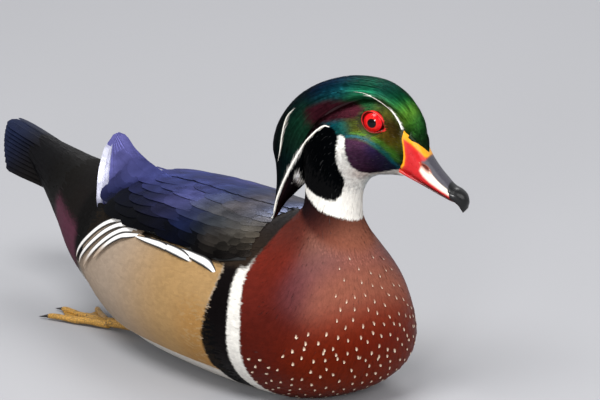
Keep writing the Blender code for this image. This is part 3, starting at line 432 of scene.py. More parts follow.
class FeatherPile:

    def __init__(self):
        self.points, self.faces, self.colours, self.bake, self.local, self.flat = [], [], [], [], [], []
        self.count = 0

    def add(self, paths, ups, halves, shape, colours, roots, camber=0.05, ring=narrowRing):
        number, rows, _ = paths.shape
        across, height, top = ring
        cols = len(across)
        share = np.linspace(0, 1, rows)
        share = share + 0.1 * np.sin(np.pi * share)
        along = unit(np.gradient(paths, axis=1))
        right = unit(np.cross(ups, along))
        up = np.cross(along, right)
        wide = halves[:, None] * np.interp(share, *zip(*featherShapes[shape]))[None]
        points = (paths[:, :, None] + right[:, :, None] * (wide[..., None] * across)[..., None]
                  + up[:, :, None] * (wide[..., None] * height * camber)[..., None])
        points[..., 2] = np.maximum(points[..., 2], 0.05)
        run = np.cumsum(np.linalg.norm(np.diff(paths, axis=1), axis=-1), axis=1)
        run = np.hstack([np.zeros((number, 1)), run])
        local = np.stack([wide[..., None] * across, np.broadcast_to((run - run[:, -1:])[..., None],
                                                                    (number, rows, cols))], -1)
        patch = np.stack(np.broadcast_arrays(across[None, None] * 0.0014, (share[None, :, None] - 0.5) * 0.0028), -1)
        bake = np.clip(roots[:, None, None] + patch, 0.0001, 0.9999)
        base = self.count + np.arange(number)[:, None, None] * rows * cols
        quads = base + gridFaces(rows, cols)[None]
        caps = base[..., 0] + np.concatenate([np.arange(cols)[::-1], (rows - 1) * cols + np.arange(cols)])
        self.points.append(points.reshape(-1, 3))
        self.colours.append(np.broadcast_to(colours, (number, rows, cols, colours.shape[-1])).reshape(-1, colours.shape[-1]))
        self.bake.append(bake.reshape(-1, 2))
        self.local.append(local.reshape(-1, 2))
        under = np.tile(np.arange(cols) >= top, rows - 1)
        self.faces += [caps.reshape(-1, cols), quads[:, under].reshape(-1, 4), quads[:, ~under].reshape(-1, 4)]
        self.flat.append(np.ones(number * (2 + len(under)), bool))  # flat faces: shared smooth normals draw a dark dash on each vane
        self.count += number * rows * cols

    def build(self, name, material):
        obj = makeMesh(name, np.vstack(self.points), self.faces, material, np.vstack(self.colours),
                       np.vstack(self.bake), np.vstack(self.local), np.concatenate(self.flat))
        obj.data.calc_loop_triangles()
        print(name, "triangles", len(obj.data.loop_triangles))
        return obj


def scatter(points, spacing, seed):  # keeps points no nearer to each other than their spacing
    draw = np.random.default_rng(seed)
    cell = float(spacing.max())
    keys = np.floor(points / cell).astype(int)
    taken, kept = {}, []
    around = [(i, j, k) for i in (-1, 0, 1) for j in (-1, 0, 1) for k in (-1, 0, 1)]
    rows, near = points.tolist(), (spacing ** 2).tolist()
    for n in draw.permutation(len(points)):
        a, b, c = keys[n]
        x, y, z = rows[n]
        limit = near[n]
        clear = True
        for i, j, k in around:
            for px, py, pz in taken.get((a + i, b + j, c + k), ()):
                if (px - x) ** 2 + (py - y) ** 2 + (pz - z) ** 2 < limit:
                    clear = False
                    break
            if not clear:
                break
        if clear:
            taken.setdefault((a, b, c), []).append((x, y, z))
            kept.append(n)
    return np.array(kept)


def spread(tRange, spacingAt, keepAt, seed, crowd=6.0):  # feather roots over a length of the body
    draw = np.random.default_rng(seed)
    grid = np.linspace(*tRange, 60)
    turn = np.linspace(0, 2 * np.pi, 73)
    t, theta = np.meshgrid((grid[1:] + grid[:-1]) / 2, (turn[1:] + turn[:-1]) / 2, indexing="ij")
    middle = body(t, theta)
    area = np.linalg.norm(np.cross(body(t + 0.02, theta) - body(t - 0.02, theta),
                                   body(t, theta + 0.02) - body(t, theta - 0.02)), axis=-1)
    area *= (grid[1] - grid[0]) * (turn[1] - turn[0]) / 0.0016
    weight = area / spacingAt(t, theta, middle) ** 2
    number = int(crowd * weight.sum())
    pick = draw.choice(weight.size, number, p=(weight / weight.sum()).ravel())
    t = t.ravel()[pick] + (draw.random(number) - 0.5) * (grid[1] - grid[0])
    theta = theta.ravel()[pick] + (draw.random(number) - 0.5) * (turn[1] - turn[0])
    place = body(t, theta)
    keep = keepAt(t, theta, place)
    t, theta, place = t[keep], theta[keep], place[keep]
    kept = scatter(place, spacingAt(t, theta, place), seed)
    return t[kept], theta[kept]


def layFeathers(t, theta, length, lifts, rows, seed, sway=0.12):  # paths over the body, tips towards the tail
    draw = np.random.default_rng(seed)
    length = np.broadcast_to(np.asarray(length, float), t.shape) * draw.uniform(0.88, 1.12, t.shape)
    share = np.linspace(0, 1, rows)
    share = share + 0.1 * np.sin(np.pi * share)
    pace = np.linalg.norm(body(t + 0.05, theta) - body(t - 0.05, theta), axis=-1) / 0.1
    half = t - 0.5 * length / np.maximum(pace, 1.5)
    pace = np.linalg.norm(body(half + 0.1, theta) - body(half - 0.1, theta), axis=-1) / 0.2
    drop = length / np.maximum(pace, 1.5)
    tt = t[:, None] - drop[:, None] * share
    around = np.linalg.norm(body(t, theta + 0.05) - body(t, theta - 0.05), axis=-1) / 0.1
    lean = draw.normal(0, sway, t.shape) * length / np.maximum(around, 4.0)
    th = theta[:, None] + lean[:, None] * share ** 1.5
    lift = lifts[0] + (lifts[1] - lifts[0]) * share ** 1.2 + draw.uniform(-0.012, 0.012, t.shape)[:, None]
    tt = np.clip(tt, 0.02, lastStation - 0.02)
    normal = bodyNormal(tt, th)
    path = body(tt, th) + normal * lift[..., None]
    path[..., 2] = np.maximum(path[..., 2], 0.15)
    return path, normal, tt, th


def rootPatch(t, theta, tRange):  # place on an unwrap of the skin's own shape
    return np.stack([np.mod(theta / (2 * np.pi), 1), (t - tRange[0]) / (tRange[1] - tRange[0])], -1)


# Materials

def featherMaterial(name, look):

    material = bpy.data.materials.new(name)
    material.use_nodes = True
    tree = material.node_tree
    shader = tree.nodes["Principled BSDF"]
    coat = addNode(tree, "ShaderNodeVertexColor", {"layer_name": "coat"})
    place = addNode(tree, "ShaderNodeUVMap", {"uv_map": "vane"})
    split = addNode(tree, "ShaderNodeSeparateXYZ", links={0: place.outputs[0]})
    away = addNode(tree, "ShaderNodeMath", {"operation": "ABSOLUTE"}, {0: split.outputs[0]})
    slant = addNode(tree, "ShaderNodeMath", {"operation": "MULTIPLY_ADD", 1: look["slant"]},
                    {0: away.outputs[0], 2: split.outputs[1]})
    solid = addNode(tree, "ShaderNodeTexCoord")
    noise = addNode(tree, "ShaderNodeTexNoise", {"Scale": 1 / (look["mottle"] * mm), "Detail": 3.0},
                    {"Vector": solid.outputs["Object"]})
    jitter = addNode(tree, "ShaderNodeMath", {"operation": "MULTIPLY_ADD", 1: look["barb"] * 0.8}, 
                     {0: noise.outputs["Fac"], 2: slant.outputs[0]})
    phase = addNode(tree, "ShaderNodeMath", {"operation": "MULTIPLY", 1: 2 * np.pi / look["barb"]}, {0: jitter.outputs[0]})
    barbs = addNode(tree, "ShaderNodeMath", {"operation": "SINE"}, {0: phase.outputs[0]})
    shaft = addNode(tree, "ShaderNodeMapRange", {"From Min": look["shaft"], "From Max": look["shaft"] * 0.3,
                                                 "To Min": 0.0, "To Max": 1.0}, {"Value": away.outputs[0]})
    tone = addNode(tree, "ShaderNodeMapRange", {"From Min": 0.3, "From Max": 0.7, "To Min": 1 - look["variation"],
                                                "To Max": 1 + look["variation"]}, {"Value": noise.outputs["Fac"]})
    stripe = addNode(tree, "ShaderNodeMath", {"operation": "MULTIPLY_ADD", 1: look["barbTone"]},
                     {0: barbs.outputs[0], 2: tone.outputs[0]})
    vein = addNode(tree, "ShaderNodeMath", {"operation": "MULTIPLY_ADD", 1: look["shaftTone"]},
                   {0: shaft.outputs[0], 2: stripe.outputs[0]})
    wash = addNode(tree, "ShaderNodeVectorMath", {"operation": "SCALE"}, {0: coat.outputs["Color"], "Scale": vein.outputs[0]})
    colour = wash.outputs[0]
    if look.get("bars"):  # fine wavy bars across the feathers, where the coat's alpha asks for them
        wave = addNode(tree, "ShaderNodeTexNoise", {"Scale": 1 / (2.2 * mm), "Detail": 2.0}, {"Vector": solid.outputs["Object"]})
        bend = addNode(tree, "ShaderNodeMath", {"operation": "MULTIPLY_ADD", 1: 1.6}, {0: wave.outputs["Fac"], 2: split.outputs[1]})
        turnNode = addNode(tree, "ShaderNodeMath", {"operation": "MULTIPLY", 1: 2 * np.pi / look["bars"]}, {0: bend.outputs[0]})
        ripple = addNode(tree, "ShaderNodeMath", {"operation": "SINE"}, {0: turnNode.outputs[0]})
        line = addNode(tree, "ShaderNodeMapRange", {"From Min": 0.15, "From Max": 0.8}, {"Value": ripple.outputs[0]})
        amount = addNode(tree, "ShaderNodeMath", {"operation": "MULTIPLY"}, {0: line.outputs[0], 1: coat.outputs["Alpha"]})
        barMix = addNode(tree, "ShaderNodeMix", {"data_type": "RGBA"})
        tree.links.new(amount.outputs[0], barMix.inputs[0])
        tree.links.new(colour, barMix.inputs[6])
        barMix.inputs[7].default_value = (*linear(look["barTint"]), 1)
        colour = barMix.outputs[2]
    tree.links.new(colour, shader.inputs["Base Color"])
    rough = addNode(tree, "ShaderNodeMapRange", {"From Min": 0.3, "From Max": 0.7, "To Min": look["roughness"] - 0.07,
                                                 "To Max": look["roughness"] + 0.07}, {"Value": noise.outputs["Fac"]})
    tree.links.new(rough.outputs[0], shader.inputs["Roughness"])
    height = addNode(tree, "ShaderNodeMath", {"operation": "MULTIPLY_ADD", 1: 0.7}, {0: shaft.outputs[0], 2: barbs.outputs[0]})
    bump = addNode(tree, "ShaderNodeBump", {"Strength": look["bump"], "Distance": 0.05 * mm}, {"Height": height.outputs[0]})
    tree.links.new(bump.outputs[0], shader.inputs["Normal"])
    shader.inputs["Metallic"].default_value = look.get("metallic", 0.0)
    shader.inputs["IOR"].default_value = 1.54  # keratin
    shader.inputs["Specular IOR Level"].default_value = look["shine"]
    shader.inputs["Specular Tint"].default_value = (*linear(look.get("grazing", "#FFFFFF")), 1)
    shader.inputs["Sheen Weight"].default_value = look.get("sheen", 0.0)
    shader.inputs["Sheen Roughness"].default_value = 0.4
    if "sheenTint" in look:
        shader.inputs["Sheen Tint"].default_value = (*linear(look["sheenTint"]), 1)
    return material


looks = {  # barb spacing, mottling and shaft half width in millimetres
    "iridescent": dict(barb=0.55, slant=0.8, mottle=2.0, shaft=0.12, variation=0.3, barbTone=0.12, shaftTone=0.10,
                       roughness=0.36, bump=0.25, metallic=0.8, shine=0.2, grazing="#4A7C90"),
    "velvet": dict(barb=0.6, slant=0.8, mottle=2.0, shaft=0.1, variation=0.05, barbTone=0.04, shaftTone=0.03,
                   roughness=0.7, bump=0.1, shine=0.05),
    "contour": dict(barb=0.7, slant=0.8, mottle=3.0, shaft=0.14, variation=0.1, barbTone=0.07, shaftTone=0.06,
                    roughness=0.48, bump=0.2, shine=0.1, grazing="#C8A4A0"),
    "flank": dict(barb=0.8, slant=0.6, mottle=3.0, shaft=0.12, variation=0.06, barbTone=0.03, shaftTone=0.0,
                  roughness=0.62, bump=0.12, bars=0.8, barTint="#6B5230", shine=0.05),
    "wing": dict(barb=0.9, slant=0.7, mottle=9.0, shaft=0.3, variation=0.18, barbTone=0.05, shaftTone=-0.12,
                 roughness=0.34, bump=0.2, metallic=0.7, shine=0.12, grazing="#5A6488"),
    "tail": dict(barb=0.9, slant=0.7, mottle=6.0, shaft=0.3, variation=0.18, barbTone=0.06, shaftTone=0.1,
                 roughness=0.5, bump=0.2, metallic=0.2, shine=0.06),
}
feather = {
    "iridescent": featherMaterial("glossy iridescent keratin barbules", looks["iridescent"]),  # metal-like green gloss
    "velvet": featherMaterial("matte white and black keratin feathers", looks["velvet"]),  # soft, velvety face
    "contour": featherMaterial("silky keratin contour feathers", looks["contour"]),  # satin with a plum sheen
    "flank": featherMaterial("finely barred keratin flank feathers", looks["flank"]),  # dull, dry and close
    "wing": featherMaterial("smooth glossy keratin wing vanes", looks["wing"]),  # blue-black gloss
    "tail": featherMaterial("smooth keratin tail vanes", looks["tail"]),  # dark satin
}
print("materials made")


# Eyes' places, used by the skin and the coat

eye = {"at": (1.0, -0.3), "radius": 6.8, "out": 7.6, "ring": 5.8, "iris": "#D41016", "irisEdge": "#5A0806", "pupil": "#000001"}
billRim = [(-20, 23.0), (-16, 22.9), (-13, 23.5), (-9, 22.3), (-4.4, 19.6), (1, 15.9), (3.4, 15.7)]  # b, a of the face's edge
wedgeRim = [(15.7, 3.4, 9.1), (18.7, 2.7, 8.3), (22.5, 1.3, 7.1), (27, -1.3, 4.1), (31.6, -4.4, 0)]  # a, b, c of the forehead's


def fromEye(points):  # distance from the eye's axis, and from the head's middle
    a, b, c = toHead(points)
    x, y = a - eye["at"][0], b - eye["at"][1]
    return a, b, c, np.minimum(np.hypot(x / np.where(x > 0, 1.12, 1.22), y), np.hypot(x - 2.9, y + 0.1) + 1.1)


# Skin

skin = {"inset": 0.42, "rows": 420, "around": 200, "shade": 0.88}
stationRuns = np.linalg.norm(np.diff(body(np.linspace(0, lastStation, 961), 1.3), axis=0), axis=-1)
runAlong = np.concatenate([[0], np.cumsum(stationRuns)])
t = np.interp(np.linspace(0, runAlong[-1], skin["rows"]), runAlong, np.linspace(0, lastStation, 961))
theta = np.linspace(0, 2 * np.pi, skin["around"], endpoint=False)
tt, th = np.meshgrid(t, theta, indexing="ij")
rings = onBody(tt, th, -skin["inset"])
a, b, c, far = fromEye(rings)
deep = np.minimum(np.abs(c), eye["out"] + 2.0 + 6.0 * smooth((far - 6.2) / 2.6))
socket = (far < 9) & (tt > 17)
rings[socket] = headPoint(a[socket], b[socket], (np.sign(c) * deep)[socket])
skinMaterial = bpy.data.materials.new("thin bird skin with down")  # matt, takes the feathers' tints
skinMaterial.use_nodes = True
skinTree = skinMaterial.node_tree
skinShader = skinTree.nodes["Principled BSDF"]
skinTint = addNode(skinTree, "ShaderNodeVertexColor", {"layer_name": "coat"})
skinPlace = addNode(skinTree, "ShaderNodeTexCoord")
skinNoise = addNode(skinTree, "ShaderNodeTexNoise", {"Scale": 1 / (1.2 * mm), "Detail": 4.0}, {"Vector": skinPlace.outputs["Object"]})
skinTone = addNode(skinTree, "ShaderNodeMapRange", {"From Min": 0.3, "From Max": 0.7, "To Min": 0.8, "To Max": 1.15},
                   {"Value": skinNoise.outputs["Fac"]})
skinWash = addNode(skinTree, "ShaderNodeVectorMath", {"operation": "SCALE"}, {0: skinTint.outputs["Color"], "Scale": skinTone.outputs[0]})
skinBump = addNode(skinTree, "ShaderNodeBump", {"Strength": 0.5, "Distance": 0.2 * mm}, {"Height": skinNoise.outputs["Fac"]})
skinTree.links.new(skinWash.outputs[0], skinShader.inputs["Base Color"])
skinTree.links.new(skinBump.outputs[0], skinShader.inputs["Normal"])
skinShader.inputs["Roughness"].default_value = 0.75
uv = np.stack([th / (2 * np.pi), np.broadcast_to((np.arange(skin["rows"]) / skin["rows"])[:, None], tt.shape)], -1)
# painted shade: the skin's colour is the coat's colour darkened by the skin's shade factor, for the shade under the
# feathers
skinPiece = loftMesh("skin", rings, skinMaterial, birdColour(tt, th, body(tt, th)) * skin["shade"], uv)
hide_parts("torso", "breast", "neck", "head")
print("skin made")

# Where the wings and flanks lie

wing = {"edge": [(-95, 70), (-50, 68.5), (-10, 70.5), (32, 69.5), (50, 73)], "front": 8.45, "back": 3.9,
        "coreBack": 4.7, "lift": 0.55, "core": 2.4}
flank = {"front": 7.15, "back": 3.6, "coreBack": 4.2, "keel": 13.0, "lift": 1.0, "core": 1.9}


def angleAtHeight(t, z):
    around = np.linspace(0, np.pi, 721)
    return np.interp(-z, -body(np.full(721, float(t)), around)[:, 2], around)


edgeSteps = np.linspace(3, 9, 241)
edgeHeights = np.interp(body(edgeSteps, np.full(241, np.pi / 4))[:, 0], *zip(*wing["edge"]))
edgeAngles = np.array([angleAtHeight(t, z) for t, z in zip(edgeSteps, edgeHeights)])
keelAngles = np.array([angleAtHeight(t, flank["keel"]) for t in edgeSteps])


def wingAngle(t, share):
    top = 0.8 / spline(stations, t)[..., 4]
    return top + (np.interp(t, edgeSteps, edgeAngles) - top) * share


def flankAngle(t, share):
    top = np.interp(t, edgeSteps, edgeAngles) + 0.012
    along = (t - flank["back"]) / (flank["front"] - flank["back"])
    return top + (np.interp(t, edgeSteps, keelAngles) - top) * (0.45 + 0.55 * smooth(along / 0.35)) * share


def flankLift(t, share):  # how far the flank's cushion of feathers stands off the body
    share = np.clip(share, 0, 1)
    rise = (flank["lift"] + flank["core"] * np.sin(np.pi * (0.25 + 0.65 * share))) * smooth((7.6 - t) / 1.2)
    return rise * smooth(0.35 + share / 0.08) * smooth((1 - share) / 0.1)


def flankShare(t, theta):
    return (theta - flankAngle(t, 0.0)) / (flankAngle(t, 1.0) - flankAngle(t, 0.0))


# The coat of small feathers over the skin

coat = {  # span of the body, spacing, length, half width, lift at root and tip, rows, share of the full colour
    "face": dict(span=(19.4, 23.95), spacing=0.84, length=3.0, half=0.46, lifts=(-0.25, 0.1), rows=4, shade=0.75),
    "cheek": dict(span=(15.3, 19.5), spacing=0.92, length=3.6, half=0.5, lifts=(-0.28, 0.11), rows=4, shade=0.86),
    "neck": dict(span=(11.9, 15.6), spacing=1.0, length=4.6, half=0.56, lifts=(-0.2, 0.06), rows=5, shade=0.86),
    "breast_upper": dict(span=(9.6, 12.2), spacing=1.15, length=5.4, half=0.75, lifts=(-0.12, 0.03), rows=5, shade=0.66),
    "breast": dict(span=(7.3, 9.7), spacing=1.35, length=6.6, half=0.9, lifts=(-0.12, 0.03), rows=6, shade=0.7),
    "torso": dict(span=(4.3, 7.5), spacing=1.7, length=9.0, half=1.4, lifts=(-0.12, 0.03), rows=5, shade=0.72),
    "rump": dict(span=(1.6, 4.5), spacing=1.8, length=11.0, half=1.4, lifts=(-0.12, 0.03), rows=6, shade=0.62),
}


def keepFree(t, theta, place):  # clear of the bill, the eyes and what the wings and flanks cover
    a, b, c, far = fromEye(place)
    inBill = (t > 20) & (a > np.interp(b, *zip(*billRim)) + 0.3) & (b > -21.5) & (b < np.interp(a, *np.array(wedgeRim).T[:2]) - 0.2)
    eyes = (t > 17) & (far < eye["ring"] + 0.1) & (np.abs(c) > 5)
    around = np.abs(np.mod(theta + np.pi, 2 * np.pi) - np.pi)
    underWing = (t > 4.75) & (t < 8.25) & (around < np.interp(t, edgeSteps, edgeAngles) - 0.06)
    low = flankAngle(t, 0.93)
    underFlank = (t > 4.5) & (t < 6.85) & (around > np.interp(t, edgeSteps, edgeAngles) - 0.06) & (around < low)
    return ~(inBill | eyes | underWing | underFlank)


def makeCoat(name, made, material, seed):
    span = made["span"]

    def spacingAt(t, theta, place):
        if name not in ("face", "cheek"):
            return made["spacing"] + 0 * t
        a, b, c, far = fromEye(place)
        return made["spacing"] * (0.92 + 0.3 * smooth((8 - a) / 30))

    t, theta = spread(span, spacingAt, keepFree, seed)
    place = body(t, theta)
    length = made["length"] * (spacingAt(t, theta, place) / made["spacing"])
    if name in ("face", "cheek"):
        a, b, c, far = fromEye(place)
        a, b = a - eye["at"][0], b - eye["at"][1]
        ahead = (a > 0) & (np.abs(b) < eye["ring"] + 0.3) & (t > 18)
        room = a - np.sqrt(np.maximum((eye["ring"] + 0.3) ** 2 - b ** 2, 0)) + 0.2 - 1.7 * np.exp(-((b + 0.1) / 1.8) ** 2)
        length = np.where(ahead & (a < 12), np.minimum(length, room), length)
        keep = length > 0.8
        t, theta, length = t[keep], theta[keep], length[keep]
    path, normal, tt, th = layFeathers(t, theta, length, made["lifts"], made["rows"], seed)
    if name in ("torso", "breast"):  # rides up over the front of the flank's cushion
        around = np.abs(np.mod(th + np.pi, 2 * np.pi) - np.pi)
        inside = flankShare(tt, around)
        path = path + normal * (flankLift(tt, inside) * (inside > 0) * (inside < 1))[..., None]
    draw = np.random.default_rng(seed + 1)
    half = made["half"] * length / made["length"] * draw.uniform(0.85, 1.15, len(t))
    half = np.maximum(half, 0.4 * made["half"])
    seen = 0.8 * path + 0.2 * path[:, -1:]
    seenT, seenTheta = 0.8 * tt + 0.2 * tt[:, -1:], 0.8 * th + 0.2 * th[:, -1:]
    colours = birdColour(seenT, seenTheta, seen) * made["shade"] * draw.uniform(0.94, 1.06, (len(t), 1, 1))
    colours = np.clip(colours, 0, 0.95)[:, :, None] * np.ones((1, 1, 3, 1))
    if name.startswith("breast"):  # white arrow spots on the tips of well-spaced feathers, larger low in front
        x, y, z = np.moveaxis(path[:, -1], -1, 0)
        front = np.cos(theta - np.pi)  # 1 on the front's middle line
        zone = smooth((front - 0.55) / 0.3) * smooth((88 - z) / 14) + smooth((front - 0.1) / 0.4) * smooth((52 - z) / 12)
        red = colours[:, -1, 1, 0] > 2.2 * colours[:, -1, 1, 1]
        spots = np.where(red & (zone * draw.uniform(0.6, 1.4, len(t)) > 0.5))[0]
        spots = spots[scatter(path[spots, -1], 5.0 + 1.2 * smooth((z[spots] - 55) / 20), seed + 2)]
        size = 0.15 + 0.7 * smooth((74 - z[spots]) / 45)
        colours[spots, -1] = linear("#F3E3CC")
        colours[spots, -2, 1] += (linear("#F0DCC0") - colours[spots, -2, 1]) * size[:, None]
        half[spots] *= 0.8 + 0.75 * size
        path[spots] += normal[spots] * np.linspace(0, 0.35, made["rows"])[:, None]
    pile = FeatherPile()
    pile.add(path, normal, half, "leaf", colours, rootPatch(t, theta, span), 0.05 if name in ("face", "cheek") else 0.025)
    obj = pile.build("coat_" + name, material)
    return obj


makeCoat("face", coat["face"], feather["iridescent"], 11)
makeCoat("cheek", coat["cheek"], feather["iridescent"], 16)
makeCoat("neck", coat["neck"], feather["velvet"], 12)
makeCoat("breast_upper", coat["breast_upper"], feather["contour"], 17)
makeCoat("breast", coat["breast"], feather["contour"], 13)
makeCoat("torso", coat["torso"], feather["flank"], 14)
makeCoat("rump", coat["rump"], feather["velvet"], 15)
print("coat laid")

# Crest: a core, and long slender feathers lying back over it

crest = {"sink": 1.3, "long": 2600, "length": (2.6, 4.4), "half": (0.28, 0.5), "rows": 9}
rows, angles = np.meshgrid(np.linspace(0.3, 12.8, 90), np.linspace(0, 2 * np.pi, 72, endpoint=False), indexing="ij")
depth = crest["sink"] * np.minimum(1, (13.0 - rows) / 2.2)
corePoints = crestSurface(rows, angles) - crestNormal(rows, angles) * depth[..., None]
coreUv = np.stack([np.mod(angles / (2 * np.pi), 1), rows / 13], -1)
# painted shade: the crest's core takes the head's colours darkened to 0.7, for the shade under the crest feathers
crestCore = loftMesh("crest_core", corePoints[:, ::-1], skinMaterial, (headColour(corePoints) * 0.7)[:, ::-1], coreUv[:, ::-1])

draw = np.random.default_rng(21)
candidates = 60000
row = draw.uniform(0.0, 12.0, candidates)
angle = draw.uniform(-np.pi, np.pi, candidates)
keep = np.abs(angle) < np.radians(112 + 70 * smooth((row - 5.5) / 2.5))
row, angle = row[keep], angle[keep]
place = crestSurface(row, angle)
kept = scatter(place, 1.1 - 0.2 * smooth((4 - row) / 4), 22)
row, angle = row[kept], angle[kept]
share = np.linspace(0, 1, crest["rows"])
share = share + 0.1 * np.sin(np.pi * share)
reach = draw.uniform(*crest["length"], row.shape) * (0.55 + 0.45 * smooth(row / 5))
rr = np.clip(row[:, None] + reach[:, None] * share, 0.02, 12.98)
aa = angle[:, None] + draw.normal(0, 0.035, row.shape)[:, None] * share
up = crestNormal(rr, aa)
lift = -1.3 + (1.3 + draw.uniform(-0.15, 0.15, row.shape))[:, None] * smooth(share * 1.6)
path = crestSurface(rr, aa) + up * np.minimum(lift, 0.25)[..., None]
tips = np.clip((row + reach - 12.6) / 2, 0, 1)
path += (headPoint(-29.0, -80.0) - headPoint(-28.0, -77.5)) * (tips[:, None, None] * share[:, None] ** 3)
half = draw.uniform(*crest["half"], row.shape)
seen = 0.6 * path + 0.4 * path[:, -1:]
colours = headColour(path) * draw.uniform(0.75, 1.25, (len(row), 1, 1))
pile = FeatherPile()
pile.add(path, up, half, "hair", np.clip(colours, 0, 0.95)[:, :, None], np.stack([np.mod(angle / (2 * np.pi), 1), row / 13], -1), 0.14)
crestPiece = pile.build("crest_feathers", feather["iridescent"])
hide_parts("crest")
print("crest made")

# Forehead: the feathers run down over the bill's ridge in a wedge

forehead = {"ridge": [(20, 6.9), (24, 4.75), (26.3, 3.5), (28, 1.9), (30, -1.1), (31, -3.1), (31.8, -5.0)], "number": 5000,
            "spacing": 0.62, "length": 2.2, "half": 0.3}


def foreheadPoint(a, across, lift=0.0):  # across runs from -1 at the right rim to 1 at the left
    rimB, rimC = (np.interp(a, *np.array(wedgeRim)[:, (0, k)].T) for k in (1, 2))
    ridge = spline(forehead["ridge"], np.interp(a, np.array(forehead["ridge"])[:, 0], np.arange(7)))[..., 1]
    dome = np.maximum(1 - np.abs(across) ** 2.2, 0) ** 0.5
    low = rimB - 0.9
    return headPoint(a, low + (ridge - low + lift) * dome, (rimC + 0.5) * across)


a, across = np.meshgrid(np.linspace(20, 31.7, 50), np.linspace(-1, 1, 41), indexing="ij")
top = foreheadPoint(a, across, -0.35)
low = foreheadPoint(a, across, -0.35) - (headPoint(0, 1.0, 0) - headPoint(0, 0, 0)) * 1.4
index = np.arange(a.size).reshape(a.shape)
border = np.concatenate([index[0], index[1:, -1], index[-1, -2::-1], index[-2:0:-1, 0]])
rim = np.stack([border, np.roll(border, -1), np.roll(border, -1) + a.size, border + a.size], -1)
# painted shade: the core takes the head's colours darkened to 0.8, for the shade under the forehead's feathers
foreheadCore = makeMesh("forehead_core", np.vstack([top.reshape(-1, 3), low.reshape(-1, 3)]),
                        [gridFaces(50, 41, False), gridFaces(50, 41, False, a.size)[:, ::-1], rim], skinMaterial,
                        np.vstack([headColour(top).reshape(-1, 3) * 0.8] * 2), np.tile(np.stack([(across + 1) / 2, (a - 20) / 12], -1).reshape(-1, 2), (2, 1)))
draw = np.random.default_rng(61)
a, across = draw.uniform(22, 31.7, forehead["number"]), draw.uniform(-0.97, 0.97, forehead["number"])
kept = scatter(foreheadPoint(a, across), np.full(len(a), forehead["spacing"]), 62)
a, across = a[kept], across[kept]
share = np.linspace(0, 1, 4)
back = np.maximum(a[:, None] - forehead["length"] * share * draw.uniform(0.85, 1.15, len(a))[:, None], 20.2)
wing0 = across[:, None] * (1 + 0 * share)
path = foreheadPoint(back, wing0, -0.3 + 0.45 * share)
up = unit(np.cross(foreheadPoint(back - 0.1, wing0) - foreheadPoint(back + 0.1, wing0),
                   foreheadPoint(back, np.minimum(wing0 + 0.02, 1)) - foreheadPoint(back, np.maximum(wing0 - 0.02, -1))))
up *= np.sign(np.sum(up * (headPoint(0, 1.0, 0) - headPoint(0, 0, 0)), -1, keepdims=True))
pile = FeatherPile()
colours = headColour(path) * draw.uniform(0.8, 1.2, (len(a), 1, 1))
pile.add(path, up, forehead["half"] * draw.uniform(0.85, 1.15, len(a)), "leaf", colours[:, :, None], np.stack([(across + 1) / 2, (a - 20) / 12], -1))
pile.build("coat_forehead", feather["iridescent"])

# White lines: slender plumes laid end to end along the brow, the nape and the cheek

gridT, gridTheta = np.meshgrid(np.linspace(15.4, 24, 200), np.linspace(0.05, 3.1, 120), indexing="ij")
gridRow, gridAngle = np.meshgrid(np.linspace(0.2, 12.8, 200), np.linspace(0.05, 3.1, 90), indexing="ij")
sidePoints = np.vstack([body(gridT, gridTheta).reshape(-1, 3), crestSurface(gridRow, gridAngle).reshape(-1, 3)])
sideNormals = np.vstack([bodyNormal(gridT, gridTheta).reshape(-1, 3), crestNormal(gridRow, gridAngle).reshape(-1, 3)])
sideA, sideB, sideC = toHead(sidePoints)
pile = FeatherPile()
for line in ("brow", "napeLine", "cheekLine"):
    table = np.array(headMarks[line])
    fine = spline(table, np.linspace(0, len(table) - 1, 240))
    run = np.concatenate([[0], np.cumsum(np.linalg.norm(np.diff(fine[:, :2], axis=0), axis=1))])
    outer, normals = [], []
    for x, y in fine[:, :2]:
        near = np.where((sideA - x) ** 2 + (sideB - y) ** 2 < 0.8)[0]
        best = near[np.argmax(sideC[near])] if len(near) else -1
        outer.append(sideC[best])
        normals.append(toHead(sidePoints[best] + sideNormals[best]) - np.array([sideA[best], sideB[best], sideC[best]]))
    outer = np.convolve(np.pad(outer, 8, "edge"), np.ones(17) / 17, "valid")
    normals = unit(np.stack([np.convolve(np.pad(values, 8, "edge"), np.ones(17) / 17, "valid") for values in np.array(normals).T], -1))
    for start in np.arange(0, run[-1] - 5, 0.9):
        along = start + np.linspace(0, 6.5, 7)
        pick = [np.interp(along, run, values) for values in (*fine.T, outer, *normals.T)]
        if pick[2].max() < 0.02:
            continue
        for side in (1, -1):
            lift = np.linspace(0.05, 0.4, 7)
            spot = np.stack([pick[0] + pick[4] * lift, pick[1] + pick[5] * lift, side * (pick[3] + pick[6] * lift)])
            path = headPoint(*spot)
            up = unit(headPoint(spot[0] + pick[4], spot[1] + pick[5], spot[2] + side * pick[6]) - path)
            pile.add(path[None], up[None], np.array([0.07 + 0.7 * max(pick[2].mean(), 0)]), "hair",
                     np.tile(plainTints["white"], (1, 7, 1, 1)), np.array([[0.5 + 0.2 * side, np.clip(start / 100, 0, 1)]]), 0.1)
pile.build("white_lines", feather["velvet"])
print("forehead and lines made")

# Wings

